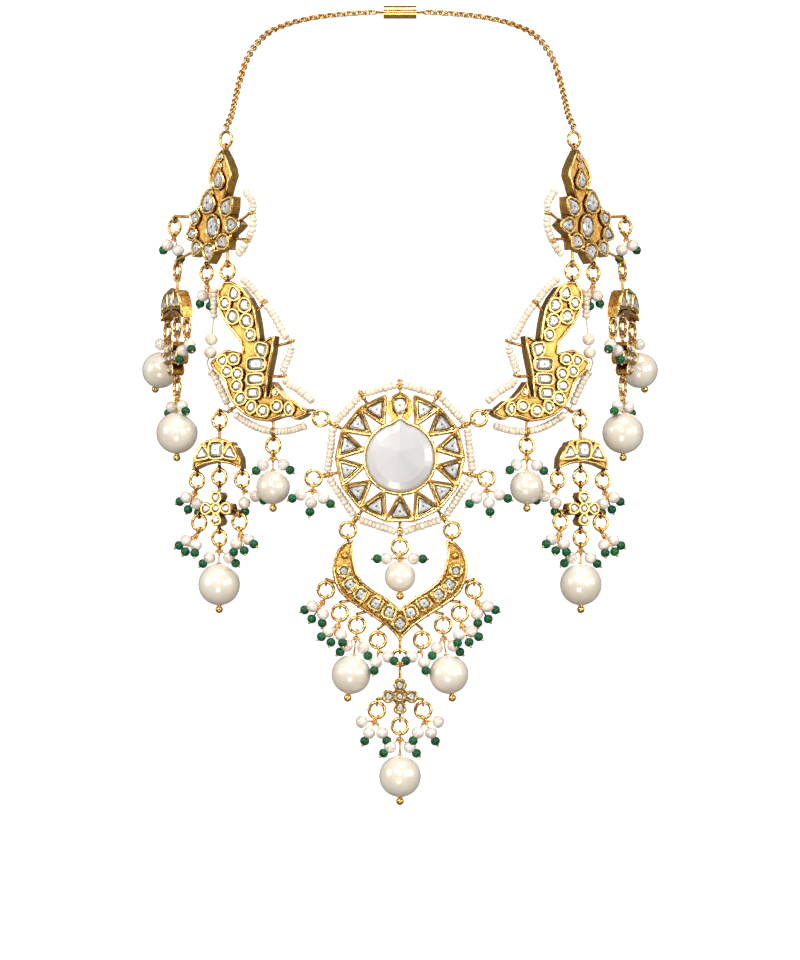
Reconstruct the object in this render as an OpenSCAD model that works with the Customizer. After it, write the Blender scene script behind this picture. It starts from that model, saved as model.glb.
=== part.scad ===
// Kundan necklace: a whole closed loop in the form that it takes when worn.
// X runs across the wearer, Y runs from the front to the back and Z is up.
// The origin is the nape: the middle of the clasp, on the side that touches the neck.

/* [Wire and links] */
// Diameter of the gold wire of rings and eyelets
wire_d = 0.7; // [0.5:0.05:0.75]
// Diameter of an eyelet, between wire centres
eye_d = 2; // [1.9:0.05:2.2]
// Diameter of a jump ring, between wire centres
link_d = 4.9; // [4.5:0.1:5.3]
// Diameter of the gold arms that carry the eyelets
arm_d = 0.9; // [0.7:0.05:1.1]

/* [Settings] */
// Thickness of the gold base of each motif
base_t = 3.4; // [3:0.1:4]
// Height of the bezels over the base
bezel_rise = 0.6; // [0.4:0.1:0.9]
// Width of the bezel wall round each stone
bezel_wall = 0.75; // [0.6:0.05:0.9]
// Gold left behind each stone
pocket_floor = 1.5; // [1:0.1:2]
// Clearance round each stone
stone_gap = 0.12; // [0.1:0.01:0.16]
// Length by which each small stone reaches past its place in the tables
stone_spread = 0.15; // [0:0.05:0.2]
// Height of a stone's table over its bezel
stone_rise = 0.5; // [0.3:0.1:0.8]

/* [Beads] */
// Diameter of the seed pearls
seed_d = 2.5; // [2.2:0.1:2.6]
// Diameter of the thread of the seed pearls
thread_d = 0.5; // [0.3:0.05:0.6]
// Diameter of the small pearls
pearl_d = 4; // [3.6:0.1:4.2]
// Diameter of the green beads
green_d = 3; // [2.6:0.1:3.2]
// Distance from a cluster's loop to its small pearls
pearl_reach = 4.3; // [4.2:0.05:4.5]
// Distance from a small pearl to the green bead under it
green_drop = 2.85; // [2.7:0.05:3]
// Diameter of a head pin
pin_d = 0.6; // [0.5:0.05:0.7]
// Diameter of the ball at the end of a head pin
ball_d = 2.4; // [2:0.1:2.8]
// Clearance between a pearl and its pin
drill_gap = 0.15; // [0.1:0.05:0.2]

/* [Large pearls] */
// Large pearl of the centre drop
centre_pearl_d = 13; // [12:0.1:13.4]
// Large pearls under the crescent
crescent_pearl_d = 12.2; // [11:0.1:12.6]
// Large pearls of the half-moon drops
moon_pearl_d = 13.2; // [12:0.1:13.6]
// Large pearls that hang beside the outer drops
side_pearl_d = 11.6; // [10:0.1:12]
// Large pearls under the birds
bird_pearl_d = 10.6; // [9.6:0.1:11]
// Pearl inside the crescent
inner_pearl_d = 9.6; // [8.6:0.1:10]

/* [Medallion] */
// Diameter of the medallion over its outer settings
medallion_d = 41; // [40:0.1:41.2]
// Number of settings round the medallion
settings = 14; // [13:1:15]
// Diameter of the bezel of the centre stone
centre_bezel_d = 23.4; // [22:0.1:24]
// Wall of the bezel of the centre stone
centre_wall = 0.9; // [0.7:0.1:1.2]
// Height of the point at the top of the centre stone
centre_point = 1.6; // [1:0.1:2]
// Height of the centre stone over its bezel
centre_stone_rise = 2.4; // [1.5:0.1:3]

/* [Crescent] */
// Width of the crescent
crescent_w = 42.2; // [41:0.1:43]
// Height of the crescent under its eyelets
crescent_h = 32.2; // [31:0.1:34]
// Length of the arm between the crescent's tip and its eyelet
tip_arm = 1.8; // [0.3:0.1:2.5]
// Extra length of the stem of the centre drop
centre_stem = 2; // [0:0.1:3]

/* [Birds] */
// Width of a bird, from its link to its beak
bird_w = 36.5; // [35:0.1:38]
// Height of a bird with the leaf over it
bird_h = 42.2; // [41:0.1:43]
// Angle by which a bird is turned outward
bird_turn = 26; // [20:1:30]

/* [Flowers] */
// Width of a flower
flower_w = 24; // [23:0.1:25]
// Height of a flower with its stem leaf
flower_h = 35.9; // [35:0.1:37]
// Angle by which a flower is turned outward
flower_turn = 40; // [34:1:44]

/* [Half-moon drops] */
// Width of a half-moon
moon_w = 17.5; // [17:0.1:18.5]
// Height of a half-moon
moon_h = 10; // [9.5:0.1:10.5]
// Angle by which an outer drop is turned outward
outer_turn = 65; // [58:1:70]
// Width of a small four-petal flower
rosette_w = 10; // [9.6:0.1:10.6]

/* [Neck] */
// Distance from the nape forward to the medallion
neck_depth = 95; // [90:1:100]
// Drop from the nape down to the middle of the medallion
neck_drop = 155; // [150:1:160]
// Diameter of the neck chain
chain_d = 2.2; // [1.8:0.1:2.4]
// Length of the clasp's barrel
clasp_l = 11; // [9:0.5:12]
// Diameter of the clasp's barrel
clasp_d = 4.4; // [4:0.1:5]

/* [Hidden] */
$fn = 32;

gold = [0.83, 0.6, 0.2];
clear_glass = [0.85, 0.87, 0.88];
milky = [0.93, 0.93, 0.92];
pearl = [0.95, 0.91, 0.84];
peach = [0.95, 0.82, 0.68];
deep_green = [0.02, 0.35, 0.2];

wire_r = wire_d/2;
eye_r = eye_d/2;
link_r = link_d/2;
down = -90;
up = 90;
front_y = -base_t/2 - bezel_rise;
floor_y = base_t/2 - pocket_floor;
// Distance from an eyelet's middle to the edge that carries it
eye_seat = eye_r - 0.1;
// Distance between the two eyelets of a post that holds a thread and a jump ring
pair_gap = eye_d*0.9;
// Length of thread left bare at each side of a post
post_gap = wire_r + 0.4;
// Least length of thread left bare where a string bends
seed_gap = 0.1;
green_reach = pearl_reach + green_drop;
// Angle between the strands of a cluster, and by how much they lean before and behind each other
strand_step = 58;
strand_tilt = 6;

// Lengths in a table are steps on a grid that is fitted to the motif's own width and height
crescent_step = [crescent_w/135, crescent_h/103];
bird_step = [bird_w/105, bird_h/135];
flower_step = [flower_w/59, flower_h/115];
moon_step = [moon_w/56, moon_h/32];
rosette_step = [rosette_w/32, rosette_w/32];

function fit(p, step) = [p[0]*step[0], p[1]*step[1]];
function polar(r, a) = [r*cos(a), r*sin(a)];
function heading(a, b) = atan2(b[1] - a[1], b[0] - a[0]);
function mirrored(pts) = [for (p = pts) [-p[0], p[1]]];
function reversed(pts) = [for (i = [len(pts) - 1:-1:0]) pts[i]];
function place(origin, turn, p) =
    origin + [p[0]*cos(turn), -p[0]*sin(turn), p[1]];

// Outlines of the stones in half widths and half heights, with the point of a drop or triangle up
drop_shape = [[0, 1], [0.6, 0.35], [0.96, -0.25], [0.7, -0.8], [0, -1], [-0.7, -0.8], [-0.96, -0.25],
    [-0.6, 0.35]];
tri_shape = [[0.14, 1], [1, -0.7], [0.8, -1], [-0.8, -1], [-1, -0.7], [-0.14, 1]];
box_shape = [[0.7, 1], [1, 0.7], [1, -0.7], [0.7, -1], [-0.7, -1], [-1, -0.7], [-1, 0.7], [-0.7, 1]];
oval_shape = [for (i = [0:7]) polar(1, 67.5 - 45*i)];
// Each kind with how much faster its size grows than its margin, so that its slanted sides keep a wall
function kind_shape(kind) =
    kind == "drop" ? drop_shape : kind == "tri" ? tri_shape : kind == "box" ? box_shape : oval_shape;
function kind_growth(kind) = kind == "drop" ? 1.3 : kind == "tri" ? 1.9 : 1.05;
// Column numbers of a table of stones: place, size, turn and kind
function stone_outline(s, step, margin) =
    let (centre = fit([s[0], s[1]], step), grow = margin*kind_growth(s[5]),
        half = fit([s[2]/2, s[3]/2], step) + [grow, grow])
    [for (p = kind_shape(s[5]))
        let (q = [p[0]*half[0], p[1]*half[1]])
        centre + [q[0]*cos(s[4]) - q[1]*sin(s[4]), q[0]*sin(s[4]) + q[1]*cos(s[4])]];

// Outline drawn upright from depth y0 in front to depth y1 behind
module upright(y0, y1) {
    translate([0, y1, 0]) rotate([90, 0, 0]) linear_extrude(y1 - y0) children();
}

module at(p) {
    translate([p[0], 0, p[1]]) children();
}

module wire_loop(pitch_d) {
    rotate_extrude() translate([pitch_d/2, 0]) circle(d = wire_d, $fn = 16);
}

// Jump ring that faces the front
module link_ring(p) {
    color(gold) at(p) rotate([90, 0, 0]) wire_loop(link_d);
}

// Eyelet seen from its edge, in the plane of direction a and the Y axis
module eyelet(p, a) {
    at(p) rotate([0, 180 - a, 0]) wire_loop(eye_d);
}

// Flat lug with a hole of an eyelet's size, beside the eyelet of a post
module lug(p, a) {
    at(p) rotate([0, 180 - a, 0]) difference() {
        cylinder(r = eye_r + wire_r, h = wire_d*0.8, center = true);
        cylinder(r = eye_r - wire_r, h = wire_d*2, center = true);
    }
}

module rod(a, b, d, sides) {
    at(a) rotate([0, 90 - heading(a, b), 0]) cylinder(d = d, h = norm(b - a), $fn = sides);
}

// Eyelet for a hanging ring, on an arm from the point root
module hanger(p, root) {
    eyelet(p, down);
    rod(root, p + [0, eye_r], arm_d, 16);
}

// Eyelet that holds the thread of a string, on an arm from the point root
module post(p, a, root) {
    eyelet(p, a);
    rod(root, p - polar(eye_r, a), arm_d, 16);
}

// Bare thread in straight legs, which run on a little past each bend
module thread_legs(pts) {
    for (i = [0:len(pts) - 2]) {
        along = polar(thread_d/2, heading(pts[i], pts[i + 1]));
        rod(pts[i] - along, pts[i + 1] + along, thread_d, 6);
    }
}

// Length by which a run of pearls stops short of point b, where the string turns from leg a-b to leg b-c
function turn_gap(a, b, c) =
    let (cosine = (b - a)*(c - b)/norm(b - a)/norm(c - b))
    seed_d/2*tan(acos(min(cosine, 1))/2) + seed_gap;

// Straight runs of seed pearls on a thread; the third column is 0 at a bend and more at a post
module bead_string(rows, step) {
    pts = [for (r = rows) fit([r[0], r[1]], step)];
    last = len(pts) - 1;
    gaps = [for (i = [0:last]) max(post_gap*rows[i][2],
        i == 0 || i == last ? 0 : turn_gap(pts[i - 1], pts[i], pts[i + 1]))];
    color(peach) union() {
        for (i = [0:last - 1]) {
            along = polar(1, heading(pts[i], pts[i + 1]));
            rod(pts[i] + along*gaps[i], pts[i + 1] - along*gaps[i + 1], seed_d, 8);
        }
        thread_legs(pts);
    }
}

// Bezels and pockets of a table of stones on a gold base
module set_gold(stones, step) {
    color(gold) difference() {
        union() {
            children();
            for (s = stones) {
                upright(front_y, base_t/2) polygon(stone_outline(s, step, bezel_wall));
            }
        }
        for (s = stones) {
            upright(front_y - 1, floor_y) polygon(stone_outline(s, step, stone_spread + stone_gap));
        }
    }
}

function ring_at(outline, centre, share, y) =
    [for (p = outline) let (q = centre + (p - centre)*share) [q[0], y, q[1]]];

// Cut stone with a table, one row of crown facets and a tapered back
module cut_stone(outline, centre, back, girdle, table, table_share) {
    n = len(outline);
    points = concat(ring_at(outline, centre, 0.94, back), ring_at(outline, centre, 1, girdle),
        ring_at(outline, centre, table_share, table));
    faces = concat([[for (i = [n - 1:-1:0]) i]], [[for (i = [0:n - 1]) 2*n + i]],
        [for (k = [0, 1], i = [0:n - 1]) [k*n + i, k*n + (i + 1)%n, (k + 1)*n + (i + 1)%n, (k + 1)*n + i]]);
    polyhedron(points, faces);
}

module stones(rows, step) {
    color(clear_glass) for (s = rows) {
        cut_stone(stone_outline(s, step, stone_spread), fit([s[0], s[1]], step),
            floor_y - stone_gap, front_y + 0.3, front_y - stone_rise, 0.55);
    }
}

// Hangs its children from a jump ring, with the lowest wire of the ring as their origin;
// lean swings them sideways and tilt swings them forward
module hang(ring, lean, tilt) {
    at(ring - [0, link_r]) rotate([-tilt, -lean, 0]) children();
}

// Wire from a loop's lowest point, with a small pearl, a green bead or both on it
module strand(angle, tilt, with_pearl, with_green) {
    reach = with_green ? green_reach : pearl_reach;
    at([0, -eye_r]) rotate([tilt, -angle, 0]) {
        color(gold) at([0, -reach]) cylinder(d = pin_d, h = reach, $fn = 16);
        if (with_pearl) color(pearl) at([0, -pearl_reach]) sphere(d = pearl_d);
        if (with_green) color(deep_green) at([0, -green_reach]) sphere(d = green_d);
    }
}

// Fan of strands under a loop; a green bead more than the pearls hangs between them
module cluster(ring, lean, tilt, pearls, greens) {
    hang(ring, lean, tilt) {
        eyelet([0, 0], up);
        for (i = [0:pearls - 1]) {
            strand(strand_step*(i - (pearls - 1)/2), i%2 == 0 ? -strand_tilt : strand_tilt, true, i < greens);
        }
        if (greens > pearls) strand(0, 0, false, true);
    }
}

// Head pin for a large pearl, with a strand at each side of it
module pin(ring, lean, d, rise, side, with_green) {
    ball = [0, -rise - d - 0.1 - ball_d/2];
    hang(ring, lean, 0) {
        eyelet([0, 0], up);
        for (flip = [-1, 1]) strand(flip*side, flip*strand_tilt, true, with_green);
        color(gold) rod([0, -eye_r], ball, pin_d, 16);
        color(gold) at(ball) sphere(d = ball_d);
    }
}

module large_pearl(ring, lean, d, rise) {
    middle = [0, -rise - d/2];
    color(pearl) hang(ring, lean, 0) difference() {
        at(middle) sphere(d = d);
        rod(middle - [0, d], middle + [0, d], pin_d + 2*drill_gap, 16);
    }
}

// Medallion
centre = [0, -neck_depth, -neck_drop];
setting_out = medallion_d/2;
centre_r = centre_bezel_d/2;
setting_base = setting_out*cos(180/settings);
setting_depth = setting_base - centre_r + 0.4;
setting_mid = setting_base - setting_depth*0.36;
setting_half_w = setting_out*sin(180/settings) + 0.05;
// Angles of the posts that hold the string, with 1 where one carries a jump ring
post_table = [[90, 0], [59, 0], [27, 1], [-13, 1], [-54, 1], [-90, 1], [-126, 1], [-167, 1], [153, 1],
    [121, 0]];
widest_gap = 41;
string_r = (setting_out + seed_d/2 + 0.15)/cos(widest_gap/2);
link_reach = string_r + pair_gap + 0.1 + link_r;

function round_point(r, point, n) =
    [for (i = [0:n - 1]) i == 0 ? [0, r + point] : polar(r, up - 360*i/n)];
function setting_outline(i, share) =
    let (mid = setting_mid,
        half = setting_half_w*share,
        outer = mid + (setting_base - mid)*share,
        inner = mid - (setting_depth*0.64)*share,
        pts = i == 0
            ? [[outer, -half*0.4], [outer, half*0.4], [mid + 1, half*0.8], [mid - 2.2, half*0.9],
                [inner, half*0.4], [inner, -half*0.4], [mid - 2.2, -half*0.9], [mid + 1, -half*0.8]]
            : [[outer, -half], [outer, half], [outer - 1.4*share, half*0.98], [inner, half*0.1],
                [inner, -half*0.1], [outer - 1.4*share, -half*0.98]])
    [for (p = pts) let (a = up - 360*i/settings) polar(1, a)*p[0] + polar(1, a + 90)*p[1]];
stone_share = 0.56;
pocket_share = stone_share + stone_gap*2/setting_half_w;

module medallion() {
    color(gold) translate(centre) {
        difference() {
            union() {
                upright(front_y, base_t/2) {
                    polygon(round_point(centre_r, centre_point, 40));
                    for (i = [0:settings - 1]) polygon(setting_outline(i, 1));
                }
                for (row = post_table) {
                    a = row[0];
                    post(polar(string_r, a), a, polar(setting_base - 0.6, a));
                    if (row[1] == 1) lug(polar(string_r + pair_gap, a), a);
                }
            }
            upright(front_y - 1, floor_y) {
                polygon(round_point(centre_r - centre_wall, centre_point, 20));
                for (i = [0:settings - 1]) polygon(setting_outline(i, pocket_share));
            }
        }
    }
}

module centre_stone() {
    outline = round_point(centre_r - centre_wall - stone_gap, centre_point, 20);
    color(milky) translate(centre)
        cut_stone(outline, [0, 0], floor_y - stone_gap, front_y + 0.2, front_y - centre_stone_rise, 0.4);
}

module medallion_stones() {
    color(clear_glass) translate(centre) for (i = [0:settings - 1]) {
        a = up - 360*i/settings;
        cut_stone(reversed(setting_outline(i, stone_share)), polar(setting_mid, a),
            floor_y - stone_gap, front_y + 0.3, front_y - stone_rise, 0.5);
    }
}

module medallion_string() {
    translate(centre) bead_string(
        [for (i = [0:len(post_table)]) concat(polar(string_r, post_table[i%len(post_table)][0]), [1.7])],
        [1, 1]);
}

// Crescent, hung by two jump rings; its own origin is midway between its two eyelets
hinge = polar(link_reach, -54) - [0, link_r];
crescent_origin = centre + [0, 0, hinge[1]];
crescent_outer = [[-49.5, -2.5], [-55.5, -5], [-62.5, -13], [-66.5, -23], [-67.5, -33], [-65.5, -44],
    [-60.5, -54], [-52.5, -62], [-39.5, -71], [-25.5, -80], [-12.5, -89], [-4.5, -97]];
crescent_inner = [[-46, -3], [-47.5, -12], [-46.5, -23], [-43.5, -35], [-37.5, -44], [-27.5, -52],
    [-15.5, -59], [-5.5, -67]];
crescent_point = -103;
crescent_notch = -72;
crescent_half = [[10.5, -75, 9, 9, 20, "box"], [24, -66, 9, 9, 30, "box"], [38.5, -57, 9, 9, 35, "box"],
    [49.5, -47, 9, 9, 50, "box"], [56, -33.5, 8, 8, 0, "oval"]];
crescent_table = concat([[0, -86, 9, 9, 45, "box"]], crescent_half,
    [for (s = crescent_half) [-s[0], s[1], s[2], s[3], -s[4], s[5]]]);
// Jump rings under the crescent: place, then the point of the edge that carries each
crescent_links = [[74, -52, 64, -45], [60, -75, 50, -63], [43, -87, 34, -74], [22, -102, 16, -86]];
function crescent_link(i) = fit([crescent_links[i][0], crescent_links[i][1]], crescent_step);

module crescent() {
    outline = concat(crescent_outer, [[0, crescent_point]], reversed(mirrored(crescent_outer)),
        mirrored(crescent_inner), [[0, crescent_notch]], reversed(crescent_inner));
    color(gold) translate(crescent_origin) {
        set_gold(crescent_table, crescent_step)
            upright(-base_t/2, base_t/2) polygon([for (p = outline) fit(p, crescent_step)]);
        for (side = [-1, 1]) {
            eyelet([side*hinge[0], 0], up);
            rod([side*(hinge[0] - 0.1), -eye_seat], [side*(hinge[0] - 0.3), -eye_seat - 1.6], arm_d, 16);
            at(fit([side*55, -18], crescent_step)) translate([0, -base_t/2, 0]) sphere(r = 1.2);
            for (l = crescent_links) {
                p = fit([l[0], l[1]], crescent_step) + [0, link_r];
                mirror([side < 0 ? 1 : 0, 0, 0]) hanger(p, fit([l[2], l[3]], crescent_step));
            }
        }
        hanger(crescent_tip + [0, link_r], fit([0, crescent_point + 3], crescent_step));
    }
}
crescent_tip = fit([0, crescent_point], crescent_step) - [0, eye_r + link_r + tip_arm];

module crescent_stones() {
    translate(crescent_origin) stones(crescent_table, crescent_step);
}

module crescent_rings() {
    translate(crescent_origin) {
        link_ring(crescent_tip);
        for (side = [-1, 1], l = crescent_links) {
            link_ring(fit([side*l[0], l[1]], crescent_step));
        }
    }
}

module crescent_clusters() {
    translate(crescent_origin) for (side = [0, 1]) mirror([side, 0, 0]) {
        cluster(crescent_link(0), 34, -14, 2, 3);
        cluster(crescent_link(1), 22, 26, 2, 3);
        pin(crescent_link(2), 8, crescent_pearl_d, 7, 38, true);
        cluster(crescent_link(3), -19, 34, 2, 2);
    }
}

module crescent_pearls() {
    translate(crescent_origin) for (side = [0, 1]) mirror([side, 0, 0]) {
        large_pearl(crescent_link(2), 8, crescent_pearl_d, 7);
    }
}

// Small four-petal flower on a stem from its loop; shared by the centre and the half-moon drops
rosette_drop = 7.6;
rosette_table = [[0, 0, 6.5, 6.5, 0, "oval"], [0, 10.5, 8, 8.5, 180, "drop"], [10.5, 0, 8, 8.5, 90, "drop"],
    [0, -10.5, 8, 8.5, 0, "drop"], [-10.5, 0, 8, 8.5, -90, "drop"]];
rosette_hang = rosette_w/2 + eye_r + 0.8;
rosette_arm = 2.2;

module rosette(sides, stem) {
    color(gold) {
        at([0, -rosette_drop - stem]) {
            set_gold(rosette_table, rosette_step) upright(-base_t/2, base_t/2) circle(d = rosette_w*0.5);
            hanger([0, -rosette_hang], [0, -rosette_w*0.5]);
            if (sides) for (side = [0, 1]) mirror([side, 0, 0]) {
                hanger([rosette_w/2 + rosette_arm, -1.8], [rosette_w/2, -0.6]);
            }
        }
        eyelet([0, 0], up);
        rod([0, -eye_r], [0, -rosette_drop - stem + rosette_w*0.5], arm_d, 16);
    }
}
rosette_ring = [0, -rosette_drop - rosette_hang - link_r];
rosette_side_ring = [rosette_w/2 + rosette_arm, -rosette_drop - 1.8 - link_r];

// Centre drop, hung from the crescent's tip
centre_origin = crescent_origin + [0, 0, crescent_tip[1] - link_r];
centre_low = centre_origin - [0, 0, centre_stem];

module centre_flower() {
    translate(centre_origin) rosette(true, centre_stem);
}

module centre_flower_stones() {
    translate(centre_low) at([0, -rosette_drop]) stones(rosette_table, rosette_step);
}

module centre_rings() {
    translate(centre_low) {
        link_ring(rosette_ring);
        for (side = [-1, 1]) link_ring([side*rosette_side_ring[0], rosette_side_ring[1]]);
    }
}

module centre_clusters() {
    translate(centre_low) {
        pin(rosette_ring, 0, centre_pearl_d, 6.6, 46, true);
        for (side = [0, 1]) mirror([side, 0, 0]) cluster(rosette_side_ring, 28, 0, 3, 2);
    }
}

module centre_pearl() {
    translate(centre_low) large_pearl(rosette_ring, 0, centre_pearl_d, 6.6);
}

// Birds: the origin of one is the eyelet that its link to the medallion passes through
link_turn = 133;
bird_link = polar(link_reach, 153);
bird_hole = bird_link + polar(link_r, link_turn);
bird_origin = centre + [bird_hole[0], 0, bird_hole[1]];
bird_body = [[-105, 53], [-98, 60], [-88, 66], [-73, 62], [-58, 69], [-44, 77], [-39, 78], [-41, 61],
    [-44, 46], [-46, 36], [-48, 17], [-44, 17], [-40, 32], [-34, 23], [-27, 15], [-19, 12], [-12, 6],
    [-6, -1], [-10, -4], [-18, -7], [-24, -3], [-33, -4], [-46, -8], [-58, -6], [-69, -1], [-78, 7],
    [-84, 16], [-88, 26], [-90, 34], [-95, 39], [-101, 45]];
bird_leaf = [[-91, 135], [-83, 135], [-73, 129], [-65, 118], [-59, 106], [-56, 91], [-54, 76],
    [-60, 60], [-71, 60], [-74, 73], [-80, 81], [-88, 91], [-95, 104], [-98, 116], [-97, 126]];
bird_table = [[-80, 123, 9, 12, 15, "drop"], [-89, 113, 8, 10, 0, "oval"], [-69, 110, 10, 12, 30, "oval"],
    [-81, 99, 10, 12, 10, "oval"], [-67, 94, 10, 12, 30, "oval"], [-63, 80, 8, 9, 0, "oval"],
    [-51, 65, 13, 12, -60, "drop"], [-57, 50, 16, 10, 0, "box"], [-58, 35, 14, 8, 0, "box"],
    [-60, 21, 11, 8, 0, "box"], [-92, 55, 8, 8, 80, "drop"], [-80, 56, 9, 8, 0, "oval"],
    [-87, 44, 8, 8, 0, "oval"], [-76, 41, 8, 9, 0, "oval"], [-77, 29, 9, 9, 0, "oval"],
    [-73, 16, 10, 9, 40, "oval"], [-62, 7, 9, 8, 60, "oval"], [-50, 3, 9, 9, 0, "oval"],
    [-36, 7, 9, 9, 0, "oval"], [-23, 4, 9, 7, -90, "drop"]];
bird_right_string = [[-75, 138, 0], [-66, 130, 0], [-58, 120, 0], [-52, 112, 1], [-45, 103, 0],
    [-38, 91, 0], [-32, 79, 0], [-25, 72, 2.4], [-25, 64, 0], [-29, 53, 0], [-32, 46, 0], [-33, 38, 1.4],
    [-29, 30, 0], [-20, 25, 0], [-11, 18, 0], [-3, 11, 0]];
bird_low_string = [[-10, -13, 0], [-24, -17, 0], [-34, -18, 0], [-43, -18, 1], [-54, -15.5, 0],
    [-68, -9, 0], [-78, -2, 0], [-87, 5, 3], [-91, 14, 0], [-97, 27, 0], [-103, 40, 0], [-108, 45, 0]];
bird_high_string = [[-104, 99, 0], [-104, 116, 0], [-103, 129, 0]];
beak_knots = [[-108, 45], [-111, 54]];
beak_pearls = [[-107.5, 64], [-106.5, 77.5]];
// Posts of the strings: place, direction, and the point of the edge that carries each
bird_posts = [[-52, 112, 40, -60, 104], [-25, 72, 22, -41, 68], [-33, 38, 12, -46, 38],
    [-43, -18, -90, -43, -6], [-87, 5, 215, -79, 9]];
leaf_eyelet = fit([-90, 135], bird_step) + [0, eye_seat];
bird_drop_eyelet = fit([-43, -18], bird_step) - [0, pair_gap];
bird_drop_ring = bird_drop_eyelet - [0, link_r + 0.1];
moon_eyelet = fit([-98, 3], bird_step);
moon_ring = moon_eyelet - [0, link_r];

module bird_frame() {
    translate(bird_origin) rotate([0, 0, -bird_turn]) children();
}

module bird_plate() {
    upright(-base_t/2, base_t/2) polygon([for (p = bird_body) fit(p, bird_step)]);
    upright(-base_t/2, base_t/2) polygon([for (p = bird_leaf) fit(p, bird_step)]);
    for (p = bird_posts) post(fit(p, bird_step), p[2], fit([p[3], p[4]], bird_step));
    eyelet([0, 0], link_turn + 180);
    rod(polar(eye_r, link_turn), fit([-12, 2], bird_step), arm_d, 16);
    eyelet(leaf_eyelet, up);
    lug(bird_drop_eyelet, down);
    eyelet(moon_eyelet, down);
    rod(moon_eyelet + [0, eye_r], fit([-87, 5], bird_step) + polar(eye_r, 215), pin_d, 16);
}

module bird() {
    bird_frame() set_gold(bird_table, bird_step) bird_plate();
}

module bird_stones() {
    bird_frame() stones(bird_table, bird_step);
}

// The low string goes on past the beak as a bare thread with two small pearls
module bird_strings() {
    bird_frame() {
        bead_string(bird_right_string, bird_step);
        color(peach) union() {
            bead_string(bird_low_string, bird_step);
            bead_string(bird_high_string, bird_step);
            thread_legs([for (p = concat(beak_knots, beak_pearls, [[-104, 99]])) fit(p, bird_step)]);
            for (p = beak_pearls) at(fit(p, bird_step)) sphere(d = pearl_d);
        }
    }
}

// Flowers: the origin is the middle of the large oval; its lowest eyelet meets the ring over a bird's leaf
flower_eyelet = fit([13, -38], flower_step);
flower_hole = place(bird_origin, bird_turn, leaf_eyelet + [0, 2*link_r]);
flower_origin = place(flower_hole, flower_turn, -flower_eyelet);
flower_table = [[2, 0, 12, 22, 0, "oval"], [-3, 26, 13, 20, 0, "drop"], [17, 20, 11, 18, -40, "drop"],
    [23, 0, 10, 15, -90, "drop"], [13, -17, 11, 13, -140, "drop"], [-2, -26, 10, 16, 180, "drop"],
    [-15, -21, 8, 13, 145, "drop"], [-20, -6, 8, 11, 110, "drop"], [-17, 11, 9, 10, 60, "drop"],
    [8, 48, 9, 17, 0, "drop"]];
stem_leaf = [[11, 78], [16, 68], [20, 58], [21, 51], [18, 42], [12, 20], [4, 20], [-1, 42], [-3, 51],
    [0, 62], [6, 72]];
flower_string_rows = [[31, 35, 0], [35, 29, 0], [40, 20, 0], [38, 11, 1], [40, 2, 0], [38, -8, 0],
    [33, -16, 1], [30, -23, 0], [24, -30, 0]];
flower_posts = [[38, 11, 0, 24, 3], [33, -16, -22, 14, -12]];
stem_eyelet = fit([11, 78], flower_step) + [0, eye_seat];
outer_eyelet = fit([-40, -33], flower_step);
outer_ring = outer_eyelet - [0, link_r];
// Eyelets for the flower's own clusters, with the point of the edge that carries each
flower_hangers = [[-9, -38, -8, -20], [-43, 12, -16, 12]];

module flower_frame() {
    translate(flower_origin) rotate([0, 0, -flower_turn]) children();
}

module flower() {
    flower_frame() set_gold(flower_table, flower_step) {
        upright(-base_t/2, base_t/2) oval(fit([23, 27], flower_step));
        upright(-base_t/2, base_t/2) polygon([for (p = stem_leaf) fit(p, flower_step)]);
        for (p = flower_posts) post(fit(p, flower_step), p[2], fit([p[3], p[4]], flower_step));
        eyelet(stem_eyelet, up);
        hanger_up(flower_eyelet, fit([13, -19], flower_step));
        hanger(outer_eyelet, fit([-14, -19], flower_step));
        for (h = flower_hangers) {
            hanger(fit([h[0], h[1]], flower_step), fit([h[2], h[3]], flower_step));
        }
    }
}

// Eyelet under a piece, carried by an arm straight from above
module hanger_up(p, root) {
    eyelet(p, up);
    rod(p + [0, eye_r], root, arm_d, 16);
}

module oval(half) {
    polygon([for (i = [0:23]) [half[0]*cos(15*i), half[1]*sin(15*i)]]);
}

module flower_stones() {
    flower_frame() stones(flower_table, flower_step);
}

module flower_string() {
    flower_frame() bead_string(flower_string_rows, flower_step);
}

// Half-moon drops: the origin of one is the lowest wire of the ring that it hangs from
moon_top = eye_seat + 2.2;
moon_outline = [[-28, -32], [-27, -21], [-21, -10], [-12, -3], [0, 0], [12, -3], [21, -10], [27, -21],
    [28, -32], [15, -27], [0, -24.5], [-15, -27]];
moon_table = [[0, -12.5, 13, 14, 0, "box"], [17, -17, 11, 11, -125, "tri"], [-17, -17, 11, 11, 125, "tri"]];
moon_side_ring = [moon_w*0.46, -moon_top - moon_h - eye_seat - link_r];
moon_mid_ring = [0, -moon_top - moon_h*0.9 - eye_seat - link_r];
rosette_origin = moon_mid_ring - [0, link_r];

module moon() {
    color(gold) {
        at([0, -moon_top]) set_gold(moon_table, moon_step)
            upright(-base_t/2, base_t/2) polygon([for (p = moon_outline) fit(p, moon_step)]);
        eyelet([0, 0], up);
        rod([0, -eye_r], [0, -moon_top - 0.6], arm_d, 16);
        hanger(moon_mid_ring + [0, link_r], [0, -moon_top - moon_h*0.7]);
        for (side = [-1, 1]) {
            p = [side*moon_side_ring[0], moon_side_ring[1] + link_r];
            hanger(p, p + [-side*0.2, eye_seat + 0.9]);
        }
    }
}

module moon_stones() {
    at([0, -moon_top]) stones(moon_table, moon_step);
    at(rosette_origin - [0, rosette_drop]) stones(rosette_table, rosette_step);
}

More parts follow.
